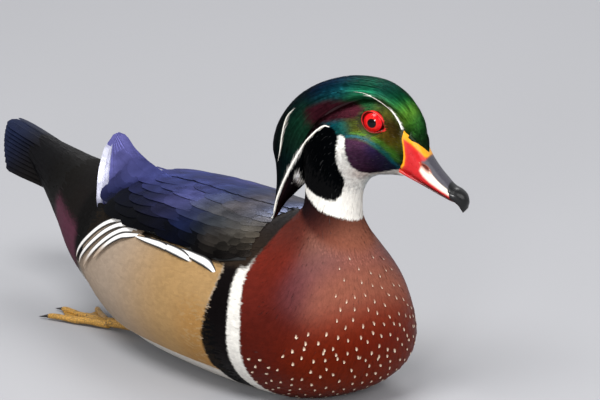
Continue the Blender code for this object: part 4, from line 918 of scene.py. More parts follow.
sides = {"left": 1, "right": -1}
wingTints = [  # place along the body, share from the back to the folded wing's edge, reach and colour
    # the paler grey-blue and blue-violet spots are partly the wing's own blue iridescence and partly a painted sheen of
    # reflected light
    (48, 0.5, 9, "#544A3C"), (46, 0.1, 9, "#585A66"), (30, 0.15, 12, "#666C80"), (28, 0.5, 9, "#6C665A"),
    (30, 0.85, 10, "#080605"), (18, 0.68, 6, "#463C32"), (10, 0.25, 10, "#6C6256"), (12, 0.5, 9, "#2C3C48"), (8, 0.85, 14, "#030304"),
    (-10, 0.12, 10, "#3E4A70"), (-8, 0.34, 9, "#646458"), (-12, 0.56, 9, "#26366A"), (-20, 0.85, 14, "#030305"),
    (-32, 0.12, 10, "#444A74"), (-32, 0.38, 10, "#6A6AA0"), (-34, 0.62, 9, "#0B0C14"), (-45, 0.9, 14, "#030407"),
    (-60, 0.2, 12, "#4C5488"), (-58, 0.5, 12, "#0A0C16"), (-80, 0.15, 10, "#5E60A0"), (-84, 0.4, 8, "#1C2444"), (-80, 0.7, 12, "#06080F"),
    (-100, 0.3, 10, "#54548A"), (-118, 0.4, 10, "#4E4C7C")]
wingTiers = [  # root station, feathers across, length, half width
    (8.5, 10, 8, 2.5), (8.3, 9, 10, 2.9), (8.05, 9, 13, 3.4), (7.75, 8, 17, 4.0), (7.4, 7, 22, 4.8), (7.0, 6, 28, 5.6),
    (6.6, 5, 34, 6.6), (6.2, 5, 38, 7.2), (5.8, 4, 38, 8.2), (5.45, 4, 35, 8.6), (5.15, 4, 30, 8.6)]
wingThick = [(3.9, 5.2), (4.8, 6.2), (5.3, 6.6), (5.8, 5.6), (6.3, 4.2), (7.0, 3.0), (7.8, 2.0), (8.3, 1.2), (8.6, 0.4)]  # by station
tipUpper = {"right": [(-62, 5.5, 82), (-80, 4.8, 86.0), (-93, 4.4, 88.0), (-105, 4.6, 91.5), (-115.5, 5.0, 99.0)],
            "left": [(-62, 3.5, 81), (-78, 3.2, 81.5), (-90, 2.6, 82.0), (-98, 2.2, 83.5), (-104, 2.0, 85.0)]}
tipLower = {"right": [(-70, 36, 74.0), (-92, 35, 69.5), (-104, 27, 79.0), (-112, 18, 90.0), (-118, 9.0, 98.5)],
            "left": [(-70, 30, 74.0), (-84, 24, 74.5), (-93, 15, 77.5), (-99, 8, 81.0), (-104, 4.5, 84.0)]}
tertials = {"count": 5, "end": 2.15, "half": 6.6, "rise": 1.7}
primaries = {"count": 7, "step": 0.45, "half": 5.2, "rows": 16}


def wingColour(points, share):
    return blendSpots(points[..., 0], share * 60, [(x, s * 60, r, code) for x, s, r, code in wingTints])


def mirror(points, side):
    return points * np.array([1, side, 1])


def shellMesh(name, inner, outer, material, colours, bake):  # a closed pad between two grids
    rows, cols, _ = inner.shape
    count = rows * cols
    top = gridFaces(rows, cols, False, count)
    low = gridFaces(rows, cols, False)[:, ::-1]
    index = np.arange(count).reshape(rows, cols)
    border = np.concatenate([index[0], index[1:, -1], index[-1, -2::-1], index[-2:0:-1, 0]])
    rim = np.stack([np.roll(border, -1), border, border + count, np.roll(border, -1) + count], -1)
    points = np.vstack([inner.reshape(-1, 3), outer.reshape(-1, 3)])
    return makeMesh(name, points, [low, top, rim], material, np.vstack([colours.reshape(-1, 3)] * 2), np.vstack([bake.reshape(-1, 2)] * 2))


for name, side in sides.items():
    draw = np.random.default_rng(31)
    steps, share = np.meshgrid(np.linspace(wing["coreBack"], wing["front"], 60), np.linspace(0, 1, 30), indexing="ij")
    angles = wingAngle(steps, share)
    thick = np.interp(steps, *zip(*wingThick)) * (1.0 - 0.3 * share)
    inner, outer = onBody(steps, angles, -0.6), onBody(steps, angles, np.maximum(thick - 0.7, -0.5))
    # painted shade: the core takes the wing's colours darkened to half, for the shade under the wing feathers
    core = shellMesh("wing_core_" + name, mirror(inner, side), mirror(outer, side), skinMaterial, wingColour(outer, share) * 0.5,
                     np.stack([share, (steps - 3) / 6], -1))
    pile = FeatherPile()
    for tier, (root, across, length, half) in enumerate(wingTiers):
        shares = (np.arange(across) + 0.5 + 0.25 * (-1) ** tier) / across * 0.92 + 0.03
        t = root + 0.05 * np.cos(2.1 * np.arange(across) + tier)
        rows = 12
        reach = np.linspace(0, 1, rows) + 0.1 * np.sin(np.pi * np.linspace(0, 1, rows))
        pace = np.linalg.norm(body(t - 0.6, wingAngle(t, shares)) - body(t - 0.2, wingAngle(t, shares)), axis=-1) / 0.4
        tt = t[:, None] - (length * draw.uniform(0.94, 1.06, across) / pace)[:, None] * reach
        th = wingAngle(tt, shares[:, None] + 0.015 * draw.normal(0, 1, across)[:, None] * reach)
        top = np.interp(tt, *zip(*wingThick)) * (1 - 0.3 * shares[:, None])
        normal = bodyNormal(tt, th)
        path = body(tt, th) + normal * (top - 0.35 * (1 - reach))[..., None]
        wide = half * (1 - 0.15 * shares) * draw.uniform(0.95, 1.05, across)
        colours = wingColour(0.8 * path + 0.2 * path[:, -1:], shares[:, None]) * draw.uniform(0.9, 1.12, (across, 1, 1))
        edge = 1 + 0.12 * np.abs(wideRing[0])[None, None, :, None] ** 3 * (reach[None, :, None, None] > 0.5)
        pile.add(mirror(path, side), mirror(normal, side), wide, "round", np.clip(colours[:, :, None] * edge, 0, 0.9),
                 np.stack([shares * 0.9 + 0.03, (t - 3) / 6], -1), 0.04, wideRing)
    if name == "right":  # a row of mantle feathers covers where the wings meet
        t = np.arange(8.35, 5.0, -0.3)
        reach = np.linspace(0, 1, 10)
        pace = np.linalg.norm(body(t - 0.6, 0 * t) - body(t - 0.2, 0 * t), axis=-1) / 0.4
        tt = t[:, None] - (np.interp(t, [5, 8.4], [26, 11]) / pace)[:, None] * reach
        normal = bodyNormal(tt, 0 * tt)
        path = body(tt, 0 * tt) + normal * (np.interp(tt, *zip(*wingThick)) + 0.15 + 0.35 * reach)[..., None]
        colours = wingColour(path, 0 * tt + 0.06)[:, :, None] + np.zeros((1, 1, len(wideRing[0]), 1))
        pile.add(path, normal, np.interp(t, [5, 8.4], [6.5, 3.0]), "round", colours, np.stack([0 * t + 0.01, (t - 3) / 6], -1), 0.05, wideRing)
    for k in range(primaries["count"]):
        part = (k + 0.5) / primaries["count"]
        steps = np.linspace(0, 1, primaries["rows"])
        steps = 4 * (steps + 0.1 * np.sin(np.pi * steps)) ** 1.1
        upper, lower = spline(tipUpper[name], steps), spline(tipLower[name], steps)
        path = upper + (lower - upper) * part - np.array([-1.4, 0, 1.0]) * primaries["step"] * k
        blend = smooth((1.0 - steps) / 1.0)[:, None]
        root = onBody(5.0, wingAngle(np.array(5.0), 0.12 + 0.7 * part), 3.2)
        path = path * (1 - blend) + (root + (path - path[0]) * 0.6) * blend
        up = np.cross(lower - upper, np.gradient(path, axis=0))
        up = unit(up)
        up = unit(up * (1 - blend) + bodyNormal(5.0, wingAngle(np.array(5.0), part)) * blend)
        tint = wingColour(path, np.full(primaries["rows"], 0.35))[:, None] * np.ones((1, len(wideRing[0]), 1))
        silver = smooth((k - primaries["count"] + 3.0) / 1.5) * (name == "right")  # the near outer primaries' outer webs
        tint = mix(tint, linear("#B2B2C0"), smooth((0.25 - wideRing[0][None] - 0 * steps[:, None]) / 0.2) * silver * smooth((steps[:, None] - 1) / 0.6))
        pile.add(mirror(path, side)[None], mirror(up, side)[None] * 1.0, np.array([primaries["half"] - 0.35 * k]), "square", tint[None],
                 np.array([[0.5, 0.05 + 0.02 * k]]), 0.05, (wideRing[0] * side, wideRing[1], wideRing[2]))
    for k in range(tertials["count"]):  # the long inner feathers lie over the primaries' bases
        part = 0.08 + 0.7 * (k + 0.5) / tertials["count"]
        steps = np.linspace(0, tertials["end"] - 0.16 * k, 14)
        upper, lower = spline(tipUpper[name], steps), spline(tipLower[name], steps)
        path = upper + (lower - upper) * part
        up = unit(np.cross(lower - upper, np.gradient(path, axis=0)))
        path = path + up * (tertials["rise"] + 0.25 * (tertials["count"] - k)) * np.sign(up[:, 2:])
        blend = smooth((1.0 - steps) / 1.0)[:, None]
        root = onBody(5.1, wingAngle(np.array(5.1), 0.1 + 0.7 * part), 5.0)
        path = path * (1 - blend) + (root + (path - path[0]) * 0.6) * blend
        up = unit(up * np.sign(up[:, 2:]) * (1 - blend) + bodyNormal(5.1, wingAngle(np.array(5.1), part)) * blend)
        tint = wingColour(path, np.full(14, 0.15 + 0.6 * part))[:, None] * np.ones((1, len(wideRing[0]), 1))
        pile.add(mirror(path, side)[None], mirror(up, side)[None], np.array([tertials["half"]]), "round", tint[None],
                 np.array([[0.5, 0.25 + 0.02 * k]]), 0.05, (wideRing[0] * side, wideRing[1], wideRing[2]))
    obj = pile.build("wing_coat_" + name, feather["wing"])
    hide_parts("wing_" + name)
print("wings made")

# Flanks: fine barred feathers over a cushion, a white and black band over them, long barred plumes behind

flankLook = {"spacing": 1.35, "length": 7.5, "half": 1.15, "alpha": 0.13, "rows": 6, "shade": 0.77}
flankPlumes = [  # station and angle along each white plume from its root, half width, rise, white from and to
    ([(7.4, 1.06), (7.1, 0.985), (6.75, 0.955), (6.3, 0.925)], 2.7, 0.9, (-0.1, 1.3)),
    ([(6.8, 1.02), (6.5, 0.975), (6.15, 0.95), (5.78, 0.935)], 2.5, 1.1, (0.1, 1.3)),
    ([(6.4, 1.0), (6.1, 0.955), (5.8, 0.95), (5.45, 0.955)], 2.1, 1.3, (0.2, 1.3)),
    ([(5.3, 0.66), (5.05, 0.745), (4.88, 0.82), (4.6, 0.97), (4.3, 1.21), (4.0, 1.44), (3.85, 1.57)], 2.1, 0.6, (0.0, 0.95)),
    ([(5.4, 0.74), (5.18, 0.81), (4.99, 0.885), (4.76, 1.01), (4.46, 1.24), (4.14, 1.48), (4.0, 1.6)], 2.1, 0.9, (0.0, 0.9)),
    ([(5.45, 0.82), (5.26, 0.89), (5.08, 0.955), (4.9, 1.06), (4.66, 1.24), (4.4, 1.44), (4.25, 1.56)], 2.1, 1.2, (0.0, 0.8)),
    ([(5.5, 0.9), (5.3, 0.965), (5.14, 1.02), (4.98, 1.11), (4.8, 1.24), (4.62, 1.38)], 2.0, 1.5, (0.0, 0.75))]

def flankColour(points, t, theta):
    colours = mix(plainTints["buff"] + 0 * points, plainTints["pinkBuff"], smooth((10 - points[..., 0]) / 70))
    gold = smooth((points[..., 0] - 5) / 25) * smooth((58 - points[..., 2]) / 20)
    colours = mix(colours, linear("#A67434"), gold * 0.6)
    colours = mix(colours, linear("#040405"), smooth((np.interp(t, *zip(*flankTop)) - theta) / 0.03 + 0.5))
    front = np.interp(points[..., 2], barEdges["z"], barEdges["blackRear"])
    return mix(colours, linear("#040405"), smooth((points[..., 0] - front) / 1.2 + 0.5))


for name, side in sides.items():
    draw = np.random.default_rng(41)
    steps, share = np.meshgrid(np.linspace(flank["coreBack"], flank["front"], 70), np.linspace(0, 1, 36), indexing="ij")
    angles = flankAngle(steps, share)
    inner, outer = onBody(steps, angles, -0.8), onBody(steps, angles, flankLift(steps, share) - 0.24)
    tone = flankColour(outer, steps, angles)
    # painted shade: the cushion takes the flank's colours darkened to 0.9, for the shade under the flank feathers
    core = shellMesh("flank_core_" + name, mirror(inner, side), mirror(outer, side), skinMaterial, tone * 0.9,
                     np.stack([share, (steps - 3) / 6], -1))
    number = 16000
    t, share = draw.uniform(4.35, 7.35, number), draw.uniform(0.0, 1.0, number)
    angle = flankAngle(t, share)
    kept = scatter(body(t, angle), np.full(number, flankLook["spacing"]), 42)
    t, share, angle = t[kept], share[kept], angle[kept]
    path, normal, tt, th = layFeathers(t, angle, flankLook["length"], (0.0, 0.0), flankLook["rows"], 43, 0.05)
    reach = np.linspace(0, 1, flankLook["rows"])
    path = path + normal * (flankLift(np.maximum(tt, 4.2), flankShare(tt, th)) - 0.06 + 0.1 * reach)[..., None]
    colours = flankColour(path, tt, th)
    colours = np.clip(colours * flankLook["shade"] * draw.uniform(0.94, 1.06, (len(t), 1, 1)), 0, 0.95)
    alpha = np.full((*colours.shape[:-1], 1), flankLook["alpha"])
    pile = FeatherPile()
    pile.add(mirror(path, side), mirror(normal, side), flankLook["half"] * draw.uniform(0.85, 1.15, len(t)), "leaf",
             np.concatenate([colours, alpha], -1)[:, :, None], np.stack([share, (t - 3) / 6], -1), 0.025)
    across = wideRing[0]
    for table, half, raised, white in flankPlumes:
        rows = 26
        reach = np.linspace(0, 1, rows)
        tt, th = spline(np.array(table), reach * (len(table) - 1)).T
        normal = bodyNormal(tt, th)
        rise = flankLift(np.maximum(tt, 4.2), np.maximum(flankShare(tt, th), 0)) - 0.3 + (0.4 + raised) * smooth(reach * 3)
        path = body(tt, th) + normal * rise[:, None]
        band = smooth((reach - white[0]) / 0.05) * smooth((white[1] - reach) / 0.25 + 0.5)
        inner = 1 - np.abs(across[None]) + 0 * reach[:, None]
        fade = mix(plainTints["buff"] + np.zeros((rows, len(across), 3)), plainTints["pinkBuff"],
                   np.full((rows, len(across)), smooth((10 - path[-1, 0]) / 70)))
        tint = mix(linear("#060608") + 0 * fade, linear("#F7F4F0"), smooth((inner - 0.26) / 0.14))
        tint = mix(fade, tint, np.maximum(band[:, None], 0.0) + 0 * inner)
        tint = np.concatenate([tint, 0 * tint[..., :1]], -1)
        pile.add(mirror(path, side)[None], mirror(normal, side)[None], np.array([half]), "lens" if white[1] > 1 else "leaf", tint[None],
                 np.array([[0.05, (tt[0] - 3) / 6]]), 0.1, (across * side, wideRing[1], wideRing[2]))
    obj = pile.build("flank_coat_" + name, feather["flank"])
    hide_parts("flank_" + name)
print("flanks made")

# Tail: stiff feathers stacked under the middle pair, and coverts over their roots

tail = {"ridge": [(-146, 75.0), (-166, 77.4), (-186, 80.4), (-203, 83.0), (-219, 85.2)], "feathers": 10, "stack": 0.85,
        "shift": 1.2, "rows": 20}
pile = FeatherPile()
for side in sides.values():
    drop = 0.0
    for k in range(tail["feathers"]):
        reach = np.linspace(0, 1, tail["rows"])
        reach = reach + 0.1 * np.sin(np.pi * reach)
        x, z = spline(tail["ridge"], 4 * reach).T
        half = 4.6 + 0.1 * k
        slope = np.radians(20 + 2.2 * k)
        if k:
            drop += tail["shift"] * np.tan(slope) + tail["stack"] / np.cos(slope)
        y = half - 0.9 + (0.4 + 0.6 * reach) * tail["shift"] * k
        z = z - half * np.sin(slope) - drop * (0.8 + 0.2 * reach)
        x = x + (0.7 * k + 0.12 * k * k) * reach
        up = np.tile([0.0, np.sin(slope), np.cos(slope)], (len(reach), 1))
        path = np.stack([x, y, z], -1)
        tint = blendSpots(x, z, [(-150, 75, 15, "#0F0C0B"), (-180, 80, 14, "#0E0C0C"), (-205, 84, 10, "#121A30"),
                                 (-212, 78, 8, "#18203C"), (-190, 65, 14, "#0E0C0B")])
        tint = tint[:, None] * (1 + 0.15 * np.abs(wideRing[0])[None, :, None] ** 3)
        pile.add(mirror(path, side)[None], mirror(up, side)[None], np.array([half]), "square", tint[None],
                 np.array([[0.5, 0.05 + 0.04 * k]]), 0.09, wideRing)
tailSpan = (0.05, 2.5)
t, theta = spread(tailSpan, lambda t, theta, place: 2.4 + 0.4 * np.cos(theta), lambda t, theta, place: t > 0.12, 51)
path, normal, tt, th = layFeathers(t, theta, 15.0, (-0.14, 0.04), 6, 52, 0.04)
draw = np.random.default_rng(53)
colours = birdColour(0.5 * tt + 0.5 * tt[:, -1:], th, path) * draw.uniform(0.92, 1.08, (len(t), 1, 1)) * 0.45
pile.add(path, normal, 2.0 * draw.uniform(0.85, 1.15, len(t)), "round", colours[:, :, None], rootPatch(t, theta, tailSpan), 0.025)
tailPiece = pile.build("tail_coat", feather["tail"])
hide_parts("tail")
print("tail made")

# Eyes: a red iris round a black pupil under a clear wet surface


def plainMaterial(name, tint, roughness, **more):
    made = bpy.data.materials.new(name)
    made.use_nodes = True
    shader = made.node_tree.nodes["Principled BSDF"]
    shader.inputs["Base Color"].default_value = (*linear(tint), 1)
    shader.inputs["Roughness"].default_value = roughness
    for key, value in more.items():
        shader.inputs[key].default_value = value
    return made, made.node_tree, shader


eyeMaterial, eyeTree, eyeShader = plainMaterial("wet living eye", "#D2281A", 0.4, **{"Coat Weight": 0.5, "Coat Roughness": 0.02})
eyeTint = addNode(eyeTree, "ShaderNodeVertexColor", {"layer_name": "coat"})
eyePlace = addNode(eyeTree, "ShaderNodeTexCoord")
eyeGrain = addNode(eyeTree, "ShaderNodeTexNoise", {"Scale": 1 / (0.7 * mm), "Detail": 4.0}, {"Vector": eyePlace.outputs["Object"]})
eyeTone = addNode(eyeTree, "ShaderNodeMapRange", {"From Min": 0.3, "From Max": 0.7, "To Min": 0.85, "To Max": 1.15},
                  {"Value": eyeGrain.outputs["Fac"]})
eyeWash = addNode(eyeTree, "ShaderNodeVectorMath", {"operation": "SCALE"}, {0: eyeTint.outputs["Color"], "Scale": eyeTone.outputs[0]})
eyeTree.links.new(eyeWash.outputs[0], eyeShader.inputs["Base Color"])
eyeShader.inputs["IOR"].default_value = 1.376  # cornea
eyeShader.inputs["Specular IOR Level"].default_value = 0.0  # only the wet surface shines
lidMaterial, lidTree, lidShader = plainMaterial("bare moist eyelid skin", "#C8321F", 0.38, **{"Subsurface Weight": 0.15})
lidShader.inputs["Subsurface Radius"].default_value = (0.001, 0.0004, 0.0003)
lidTint = addNode(lidTree, "ShaderNodeVertexColor", {"layer_name": "coat"})
lidPlace = addNode(lidTree, "ShaderNodeTexCoord")
lidGrain = addNode(lidTree, "ShaderNodeTexVoronoi", {"Scale": 1 / (0.5 * mm)}, {"Vector": lidPlace.outputs["Object"]})
lidBump = addNode(lidTree, "ShaderNodeBump", {"Strength": 0.4, "Distance": 0.08 * mm}, {"Height": lidGrain.outputs["Distance"]})
lidTree.links.new(lidTint.outputs["Color"], lidShader.inputs["Base Color"])
lidTree.links.new(lidBump.outputs[0], lidShader.inputs["Normal"])

lid = {"around": 64, "inner": 5.2, "width": 0.95, "almond": 0.07, "corner": 1.7, "tall": 0.75}
for name, side in sides.items():
    polar = np.radians(np.concatenate([np.linspace(1, 24, 14), np.linspace(25, 62, 26), np.linspace(66, 178, 20)]))
    spin = np.linspace(0, 2 * np.pi, 64, endpoint=False)
    angle, turn = np.meshgrid(polar, spin, indexing="ij")
    out, wide = eye["radius"] * np.cos(angle), eye["radius"] * np.sin(angle)
    rings = headPoint(eye["at"][0] + wide * np.cos(turn), eye["at"][1] + wide * np.sin(turn), side * (eye["out"] + out))
    streak = 0.12 * np.sin(23 * turn + 3 * np.sin(7 * turn))
    tint = mix(np.broadcast_to(linear(eye["iris"]), (*wide.shape, 3)), linear("#E23A1C"), smooth((3.6 - wide) / 1.2) * 0.35 + streak)
    tint = mix(tint, linear(eye["irisEdge"]), smooth((wide - 4.8) / 0.2))
    tint = mix(tint, linear(eye["pupil"]), smooth((2.55 - wide) / 0.25) * (angle < 1.5))
    # painted shade: the eyeball is darkened to near black in the lid's pointed front corner, where the gap lies in
    # shade
    corner = np.exp(-((np.mod(turn + 0.05 + np.pi, 2 * np.pi) - np.pi) / 0.3) ** 2) * smooth((wide - 5.0) / 0.2)
    tint = mix(tint, linear("#0A0304"), corner)
    order = slice(None) if side < 0 else slice(None, None, -1)
    obj = loftMesh("eye_ball_" + name, rings[:, order], eyeMaterial, tint[:, order])
    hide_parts("eye_" + name)

    off = np.mod(spin + 0.05 + np.pi, 2 * np.pi) - np.pi  # the pointed front corner
    inner = lid["inner"] * (1 + lid["almond"] * np.cos(2 * spin)) - 0.25 * np.maximum(np.sin(spin), 0) + 0.8 * (0.5 - 0.5 * np.cos(spin)) ** 2
    outer = inner + lid["width"] + lid["corner"] * np.exp(-(off / 0.42) ** 2)
    inner = inner + 0.5 * np.exp(-(off / 0.28) ** 2)
    profile = [(0.0, -0.5), (0.0, 0.1), (0.15, 0.5), (0.4, lid["tall"]), (0.65, 0.65), (0.85, 0.35), (1.0, -0.1), (1.05, -0.8), (0.5, -1.4)]
    rows = []
    for along, height in profile:
        wide = inner + (outer - inner) * along
        base = np.sqrt(np.maximum(eye["radius"] ** 2 - np.minimum(wide, 6.2) ** 2, 0)) + 0.55 * np.maximum(wide - 6.2, 0) * np.cos(spin / 2) ** 8
        pleat = 0.04 * np.sin(26 * spin) * (0.1 < along < 0.9)
        rows.append(headPoint(eye["at"][0] + wide * np.cos(spin), eye["at"][1] + wide * np.sin(spin),
                              side * (eye["out"] + base + height + pleat)))
    rows = np.array(rows + rows[:1])
    # painted light and shade: the lid ring is painted lightest red on its crest and dark red on its slopes into the eye
    # and under the feathers
    tint = np.array([mix(np.broadcast_to(linear("#E02A24"), (64, 3)), linear("#6E0C0A"), np.full(64, edge)) for edge in
                     (1, 1, 0.7, 0.1, 0, 0.1, 0.5, 1, 1, 1)])
    points, faces = rows[:-1].reshape(-1, 3), gridFaces(len(rows), 64)
    faces = np.where(faces >= 64 * (len(rows) - 1), faces - 64 * (len(rows) - 1), faces)
    if side > 0:
        faces = faces[:, ::-1]
    obj = makeMesh("eyelid_ring_" + name, points, [faces], lidMaterial, tint[:-1].reshape(-1, 3))
    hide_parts("eyelid_" + name)
print("eyes made")

# Bill, in the head's directions: top a, b, mouth line a, b, half width, roundness

billUpper = [
    (15.6, 6.6, 21.5, -17.0, 9.9, 3.6), (20.2, 3.9, 24.0, -17.7, 9.6, 3.2), (26.2, 0.0, 28.0, -18.3, 9.0, 2.7),
    (32.7, -4.8, 33.0, -18.6, 8.2, 2.4), (39.4, -8.4, 39.5, -18.9, 7.2, 2.3), (46.0, -11.1, 46.0, -19.1, 6.4, 2.3),
    (50.5, -12.7, 50.5, -19.0, 6.0, 2.3), (54.5, -12.6, 54.0, -19.3, 5.6, 2.3), (58.2, -13.5, 57.2, -20.2, 4.6, 2.2),
    (60.9, -16.2, 59.4, -21.8, 3.3, 2.1), (61.9, -19.6, 60.8, -23.0, 1.7, 2.0)]
billLower = [
    (22.0, -15.8, 23.5, -19.2, 7.8, 3.0), (28.0, -16.2, 29.0, -19.4, 7.2, 2.6), (34.0, -16.6, 34.5, -19.5, 6.5, 2.4),
    (40.0, -17.2, 40.5, -19.7, 5.6, 2.2), (46.0, -17.8, 46.3, -19.9, 4.8, 2.2), (52.0, -18.2, 52.2, -20.0, 3.8, 2.2),
    (55.6, -18.8, 55.6, -20.0, 2.2, 2.0)]
nostril = {"place": (34.6, -9.6), "along": (2.4, -0.9), "half": 0.75, "deep": 1.2}
billMaterial, billTree, billShader = plainMaterial("waxy living bill horn", "#C8281A", 0.3, **{"Coat Weight": 0.25, "Coat Roughness": 0.1})
billShader.inputs["IOR"].default_value = 1.54  # keratin
billShader.inputs["Specular IOR Level"].default_value = 0.3
billTint = addNode(billTree, "ShaderNodeVertexColor", {"layer_name": "coat"})
billPlace = addNode(billTree, "ShaderNodeTexCoord")
billGrain = addNode(billTree, "ShaderNodeTexNoise", {"Scale": 1 / (1.6 * mm), "Detail": 6.0, "Roughness": 0.6}, {"Vector": billPlace.outputs["Object"]})
billTone = addNode(billTree, "ShaderNodeMapRange", {"From Min": 0.3, "From Max": 0.7, "To Min": 0.88, "To Max": 1.1}, {"Value": billGrain.outputs["Fac"]})
billWash = addNode(billTree, "ShaderNodeVectorMath", {"operation": "SCALE"}, {0: billTint.outputs["Color"], "Scale": billTone.outputs[0]})
billBump = addNode(billTree, "ShaderNodeBump", {"Strength": 0.35, "Distance": 0.12 * mm}, {"Height": billGrain.outputs["Fac"]})
billRough = addNode(billTree, "ShaderNodeMapRange", {"From Min": 0.3, "From Max": 0.7, "To Min": 0.24, "To Max": 0.4}, {"Value": billGrain.outputs["Fac"]})
billTree.links.new(billWash.outputs[0], billShader.inputs["Base Color"])
billTree.links.new(billBump.outputs[0], billShader.inputs["Normal"])
billTree.links.new(billRough.outputs[0], billShader.inputs["Roughness"])


def billGrid(table, rows, around):
    angles = np.linspace(0, 2 * np.pi, around, endpoint=False)
    ta, tb, ba, bb, half, power = spline(table, np.linspace(0, len(table) - 1, rows)).T[..., None]
    c, s = np.cos(angles), np.sin(angles)
    up = 0.32 + np.sign(c) * np.abs(c) ** (2 / power) * np.where(c > 0, 0.68, 0.32)
    side = np.sign(s) * np.abs(s) ** (2 / power)
    return ba + up * (ta - ba), bb + up * (tb - bb), side * half, up + 0 * side


def billColour(a, b, c, up, lower=False):
    fromFace = a - np.interp(b, *zip(*billRim))  # forward of the face's edge, and below the forehead's
    fromWedge = np.interp(a, *np.array(wedgeRim).T[:2]) - b
    tint = np.broadcast_to(linear("#C40D12"), (*a.shape, 3))
    tint = mix(tint, linear("#D2320C"), np.maximum(smooth((2.8 - fromFace) / 1.6), smooth((5.6 - 0.2 * (a - 16) - fromWedge) / 1.4) * (a < 34)))
    edge = np.maximum(smooth((1.3 - fromFace) / 0.6) * smooth((b + 17) / 3), smooth((4.4 - 0.2 * (a - 16) - fromWedge) / 0.7) * (a < 33))
    corner = smooth((3.6 - np.hypot(a - 16.5, b - 2.6)) / 1.5)
    tint = mix(tint, linear("#F0A208"), np.maximum(edge, corner))
    if lower:
        return mix(tint, linear("#1E1210"), smooth((a - 26) / 14) * 0.9)
    patch = within(a, b, [(32.4, -9.6), (37, -9.4), (40, -11.2), (44, -12.8), (49, -13.4), (52.2, -13.6), (53.4, -16.0),
                          (51.4, -16.7), (46.3, -16.3), (39.5, -15.2), (35.5, -13.8), (32.6, -12.0)], 0.7)
    tint = mix(tint, linear("#F3E6D4"), patch * (np.abs(c) > 1.2))
    blue = within(a, b, [(31.0, -7.4), (33.0, -6.6), (36, -7.6), (38, -9.4), (35.5, -9.2), (32.4, -8.9)], 0.6)
    tint = mix(tint, linear("#3F4650"), blue * (np.abs(c) > 2))
    ridge = np.interp(a, [16, 27, 32.7, 39.4, 46, 50.5], [6.0, -0.6, -4.8, -8.4, -11.1, -12.7])
    top = smooth((3.2 - 0.9 * smooth((a - 42) / 9) - (ridge - b)) / 0.7) * smooth((a - 32.0) / 1.2)
    tint = mix(tint, linear("#413F47"), top)
    nail = smooth((a - 0.55 * (-18.6 - b) - 52.4 + 0.9 * (b > -15.5)) / 0.6)
    return mix(tint, linear("#050506"), nail)


for name, table, rows, around in (("bill_upper", billUpper, 110, 120), ("bill_lower", billLower, 70, 80)):
    a, b, c, up = billGrid(table, rows, around)
    tint = billColour(a, b, c, up, name == "bill_lower")
    push = np.zeros_like(a)
    if name == "bill_upper":
        da, db = a - nostril["place"][0], b - nostril["place"][1]
        long, short = np.hypot(*nostril["along"]), nostril["half"]
        u = (da * nostril["along"][0] + db * nostril["along"][1]) / long / long
        v = (da * -nostril["along"][1] + db * nostril["along"][0]) / long / short
        push += 1.6 * np.maximum(smooth((np.interp(b, *zip(*billRim)) - a + 0.2) / 0.9), 0) * (np.abs(c) > 4)
        # painted shade: the nostril's pressed-in hole is painted dark red-brown
        hole = smooth((1.25 - np.hypot(u, v)) / 0.5) * (np.abs(c) > 3)
        push += nostril["deep"] * hole
        tint = mix(tint, linear("#6A1E08"), hole)
        rim = smooth((1.9 - np.hypot(u, v)) / 0.6) * (1 - hole) * (np.abs(c) > 3)
        push -= 0.25 * rim
        tint = mix(tint, linear("#C4571F"), rim * 0.5)
        nail = smooth((a - 0.55 * (-18.6 - b) - 52.6) / 0.6)
        push -= 0.25 * nail
        # painted shade: the tint is darkened along the pressed-in groove low on the bill's side
        groove = np.exp(-((up - 0.12) / 0.05) ** 2) * smooth((a - 26) / 3) * smooth((52 - a) / 3)
        push += 0.35 * groove
        tint = mix(tint, tint * 0.55, groove * 0.6)
    width = np.maximum(np.abs(c).max(1, keepdims=True), 0.1)
    c = c - np.sign(c) * push * np.abs(c) / width
    b = b - push * 0.25 * (up > 0.8)
    rings = headPoint(a, b, c)
    u = np.broadcast_to(np.arange(around) / around, a.shape)
    v = np.broadcast_to((np.arange(rows) / rows)[:, None], a.shape)
    obj = loftMesh(name + "_horn", rings[:, ::-1], billMaterial, tint[:, ::-1], np.stack([u, v], -1)[:, ::-1])
    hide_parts(name)
print("bill made")

# Legs and feet

leg = {"shank": [(-52, 21, 8.0, 5.5), (-64, 22.5, 7.2, 3.8), (-78, 24.5, 5.8, 2.8), (-92, 27, 4.4, 2.5)],
       "toeRoot": (-92.4, 27.1, 3.2), "toes": ((-24, 38), (2, 47), (24, 43)), "sole": 0.4}
legMaterial, legTree, legShader = plainMaterial("scaly leg skin", "#B98A3C", 0.5)
legPlace = addNode(legTree, "ShaderNodeTexCoord")
legScales = addNode(legTree, "ShaderNodeTexVoronoi", {"Scale": 1 / (1.3 * mm), "feature": "DISTANCE_TO_EDGE"}, {"Vector": legPlace.outputs["Object"]})
legTone = addNode(legTree, "ShaderNodeValToRGB", links={"Fac": legScales.outputs["Distance"]})
legTone.color_ramp.elements[0].color = (*linear("#3A2E1C"), 1)
legTone.color_ramp.elements[1].color = (*linear("#C2913E"), 1)
legTone.color_ramp.elements[1].position = 0.12
legBump = addNode(legTree, "ShaderNodeBump", {"Strength": 0.7, "Distance": 0.25 * mm}, {"Height": legScales.outputs["Distance"]})
legTree.links.new(legTone.outputs["Color"], legShader.inputs["Base Color"])
legTree.links.new(legBump.outputs[0], legShader.inputs["Normal"])
clawMaterial, clawTree, clawShader = plainMaterial("dark horn claws", "#1C1714", 0.35)
clawPlace = addNode(clawTree, "ShaderNodeTexCoord")
clawNoise = addNode(clawTree, "ShaderNodeTexNoise", {"Scale": 1 / (1.0 * mm)}, {"Vector": clawPlace.outputs["Object"]})
clawBump = addNode(clawTree, "ShaderNodeBump", {"Strength": 0.3, "Distance": 0.1 * mm}, {"Height": clawNoise.outputs["Fac"]})
clawTree.links.new(clawBump.outputs[0], clawShader.inputs["Normal"])


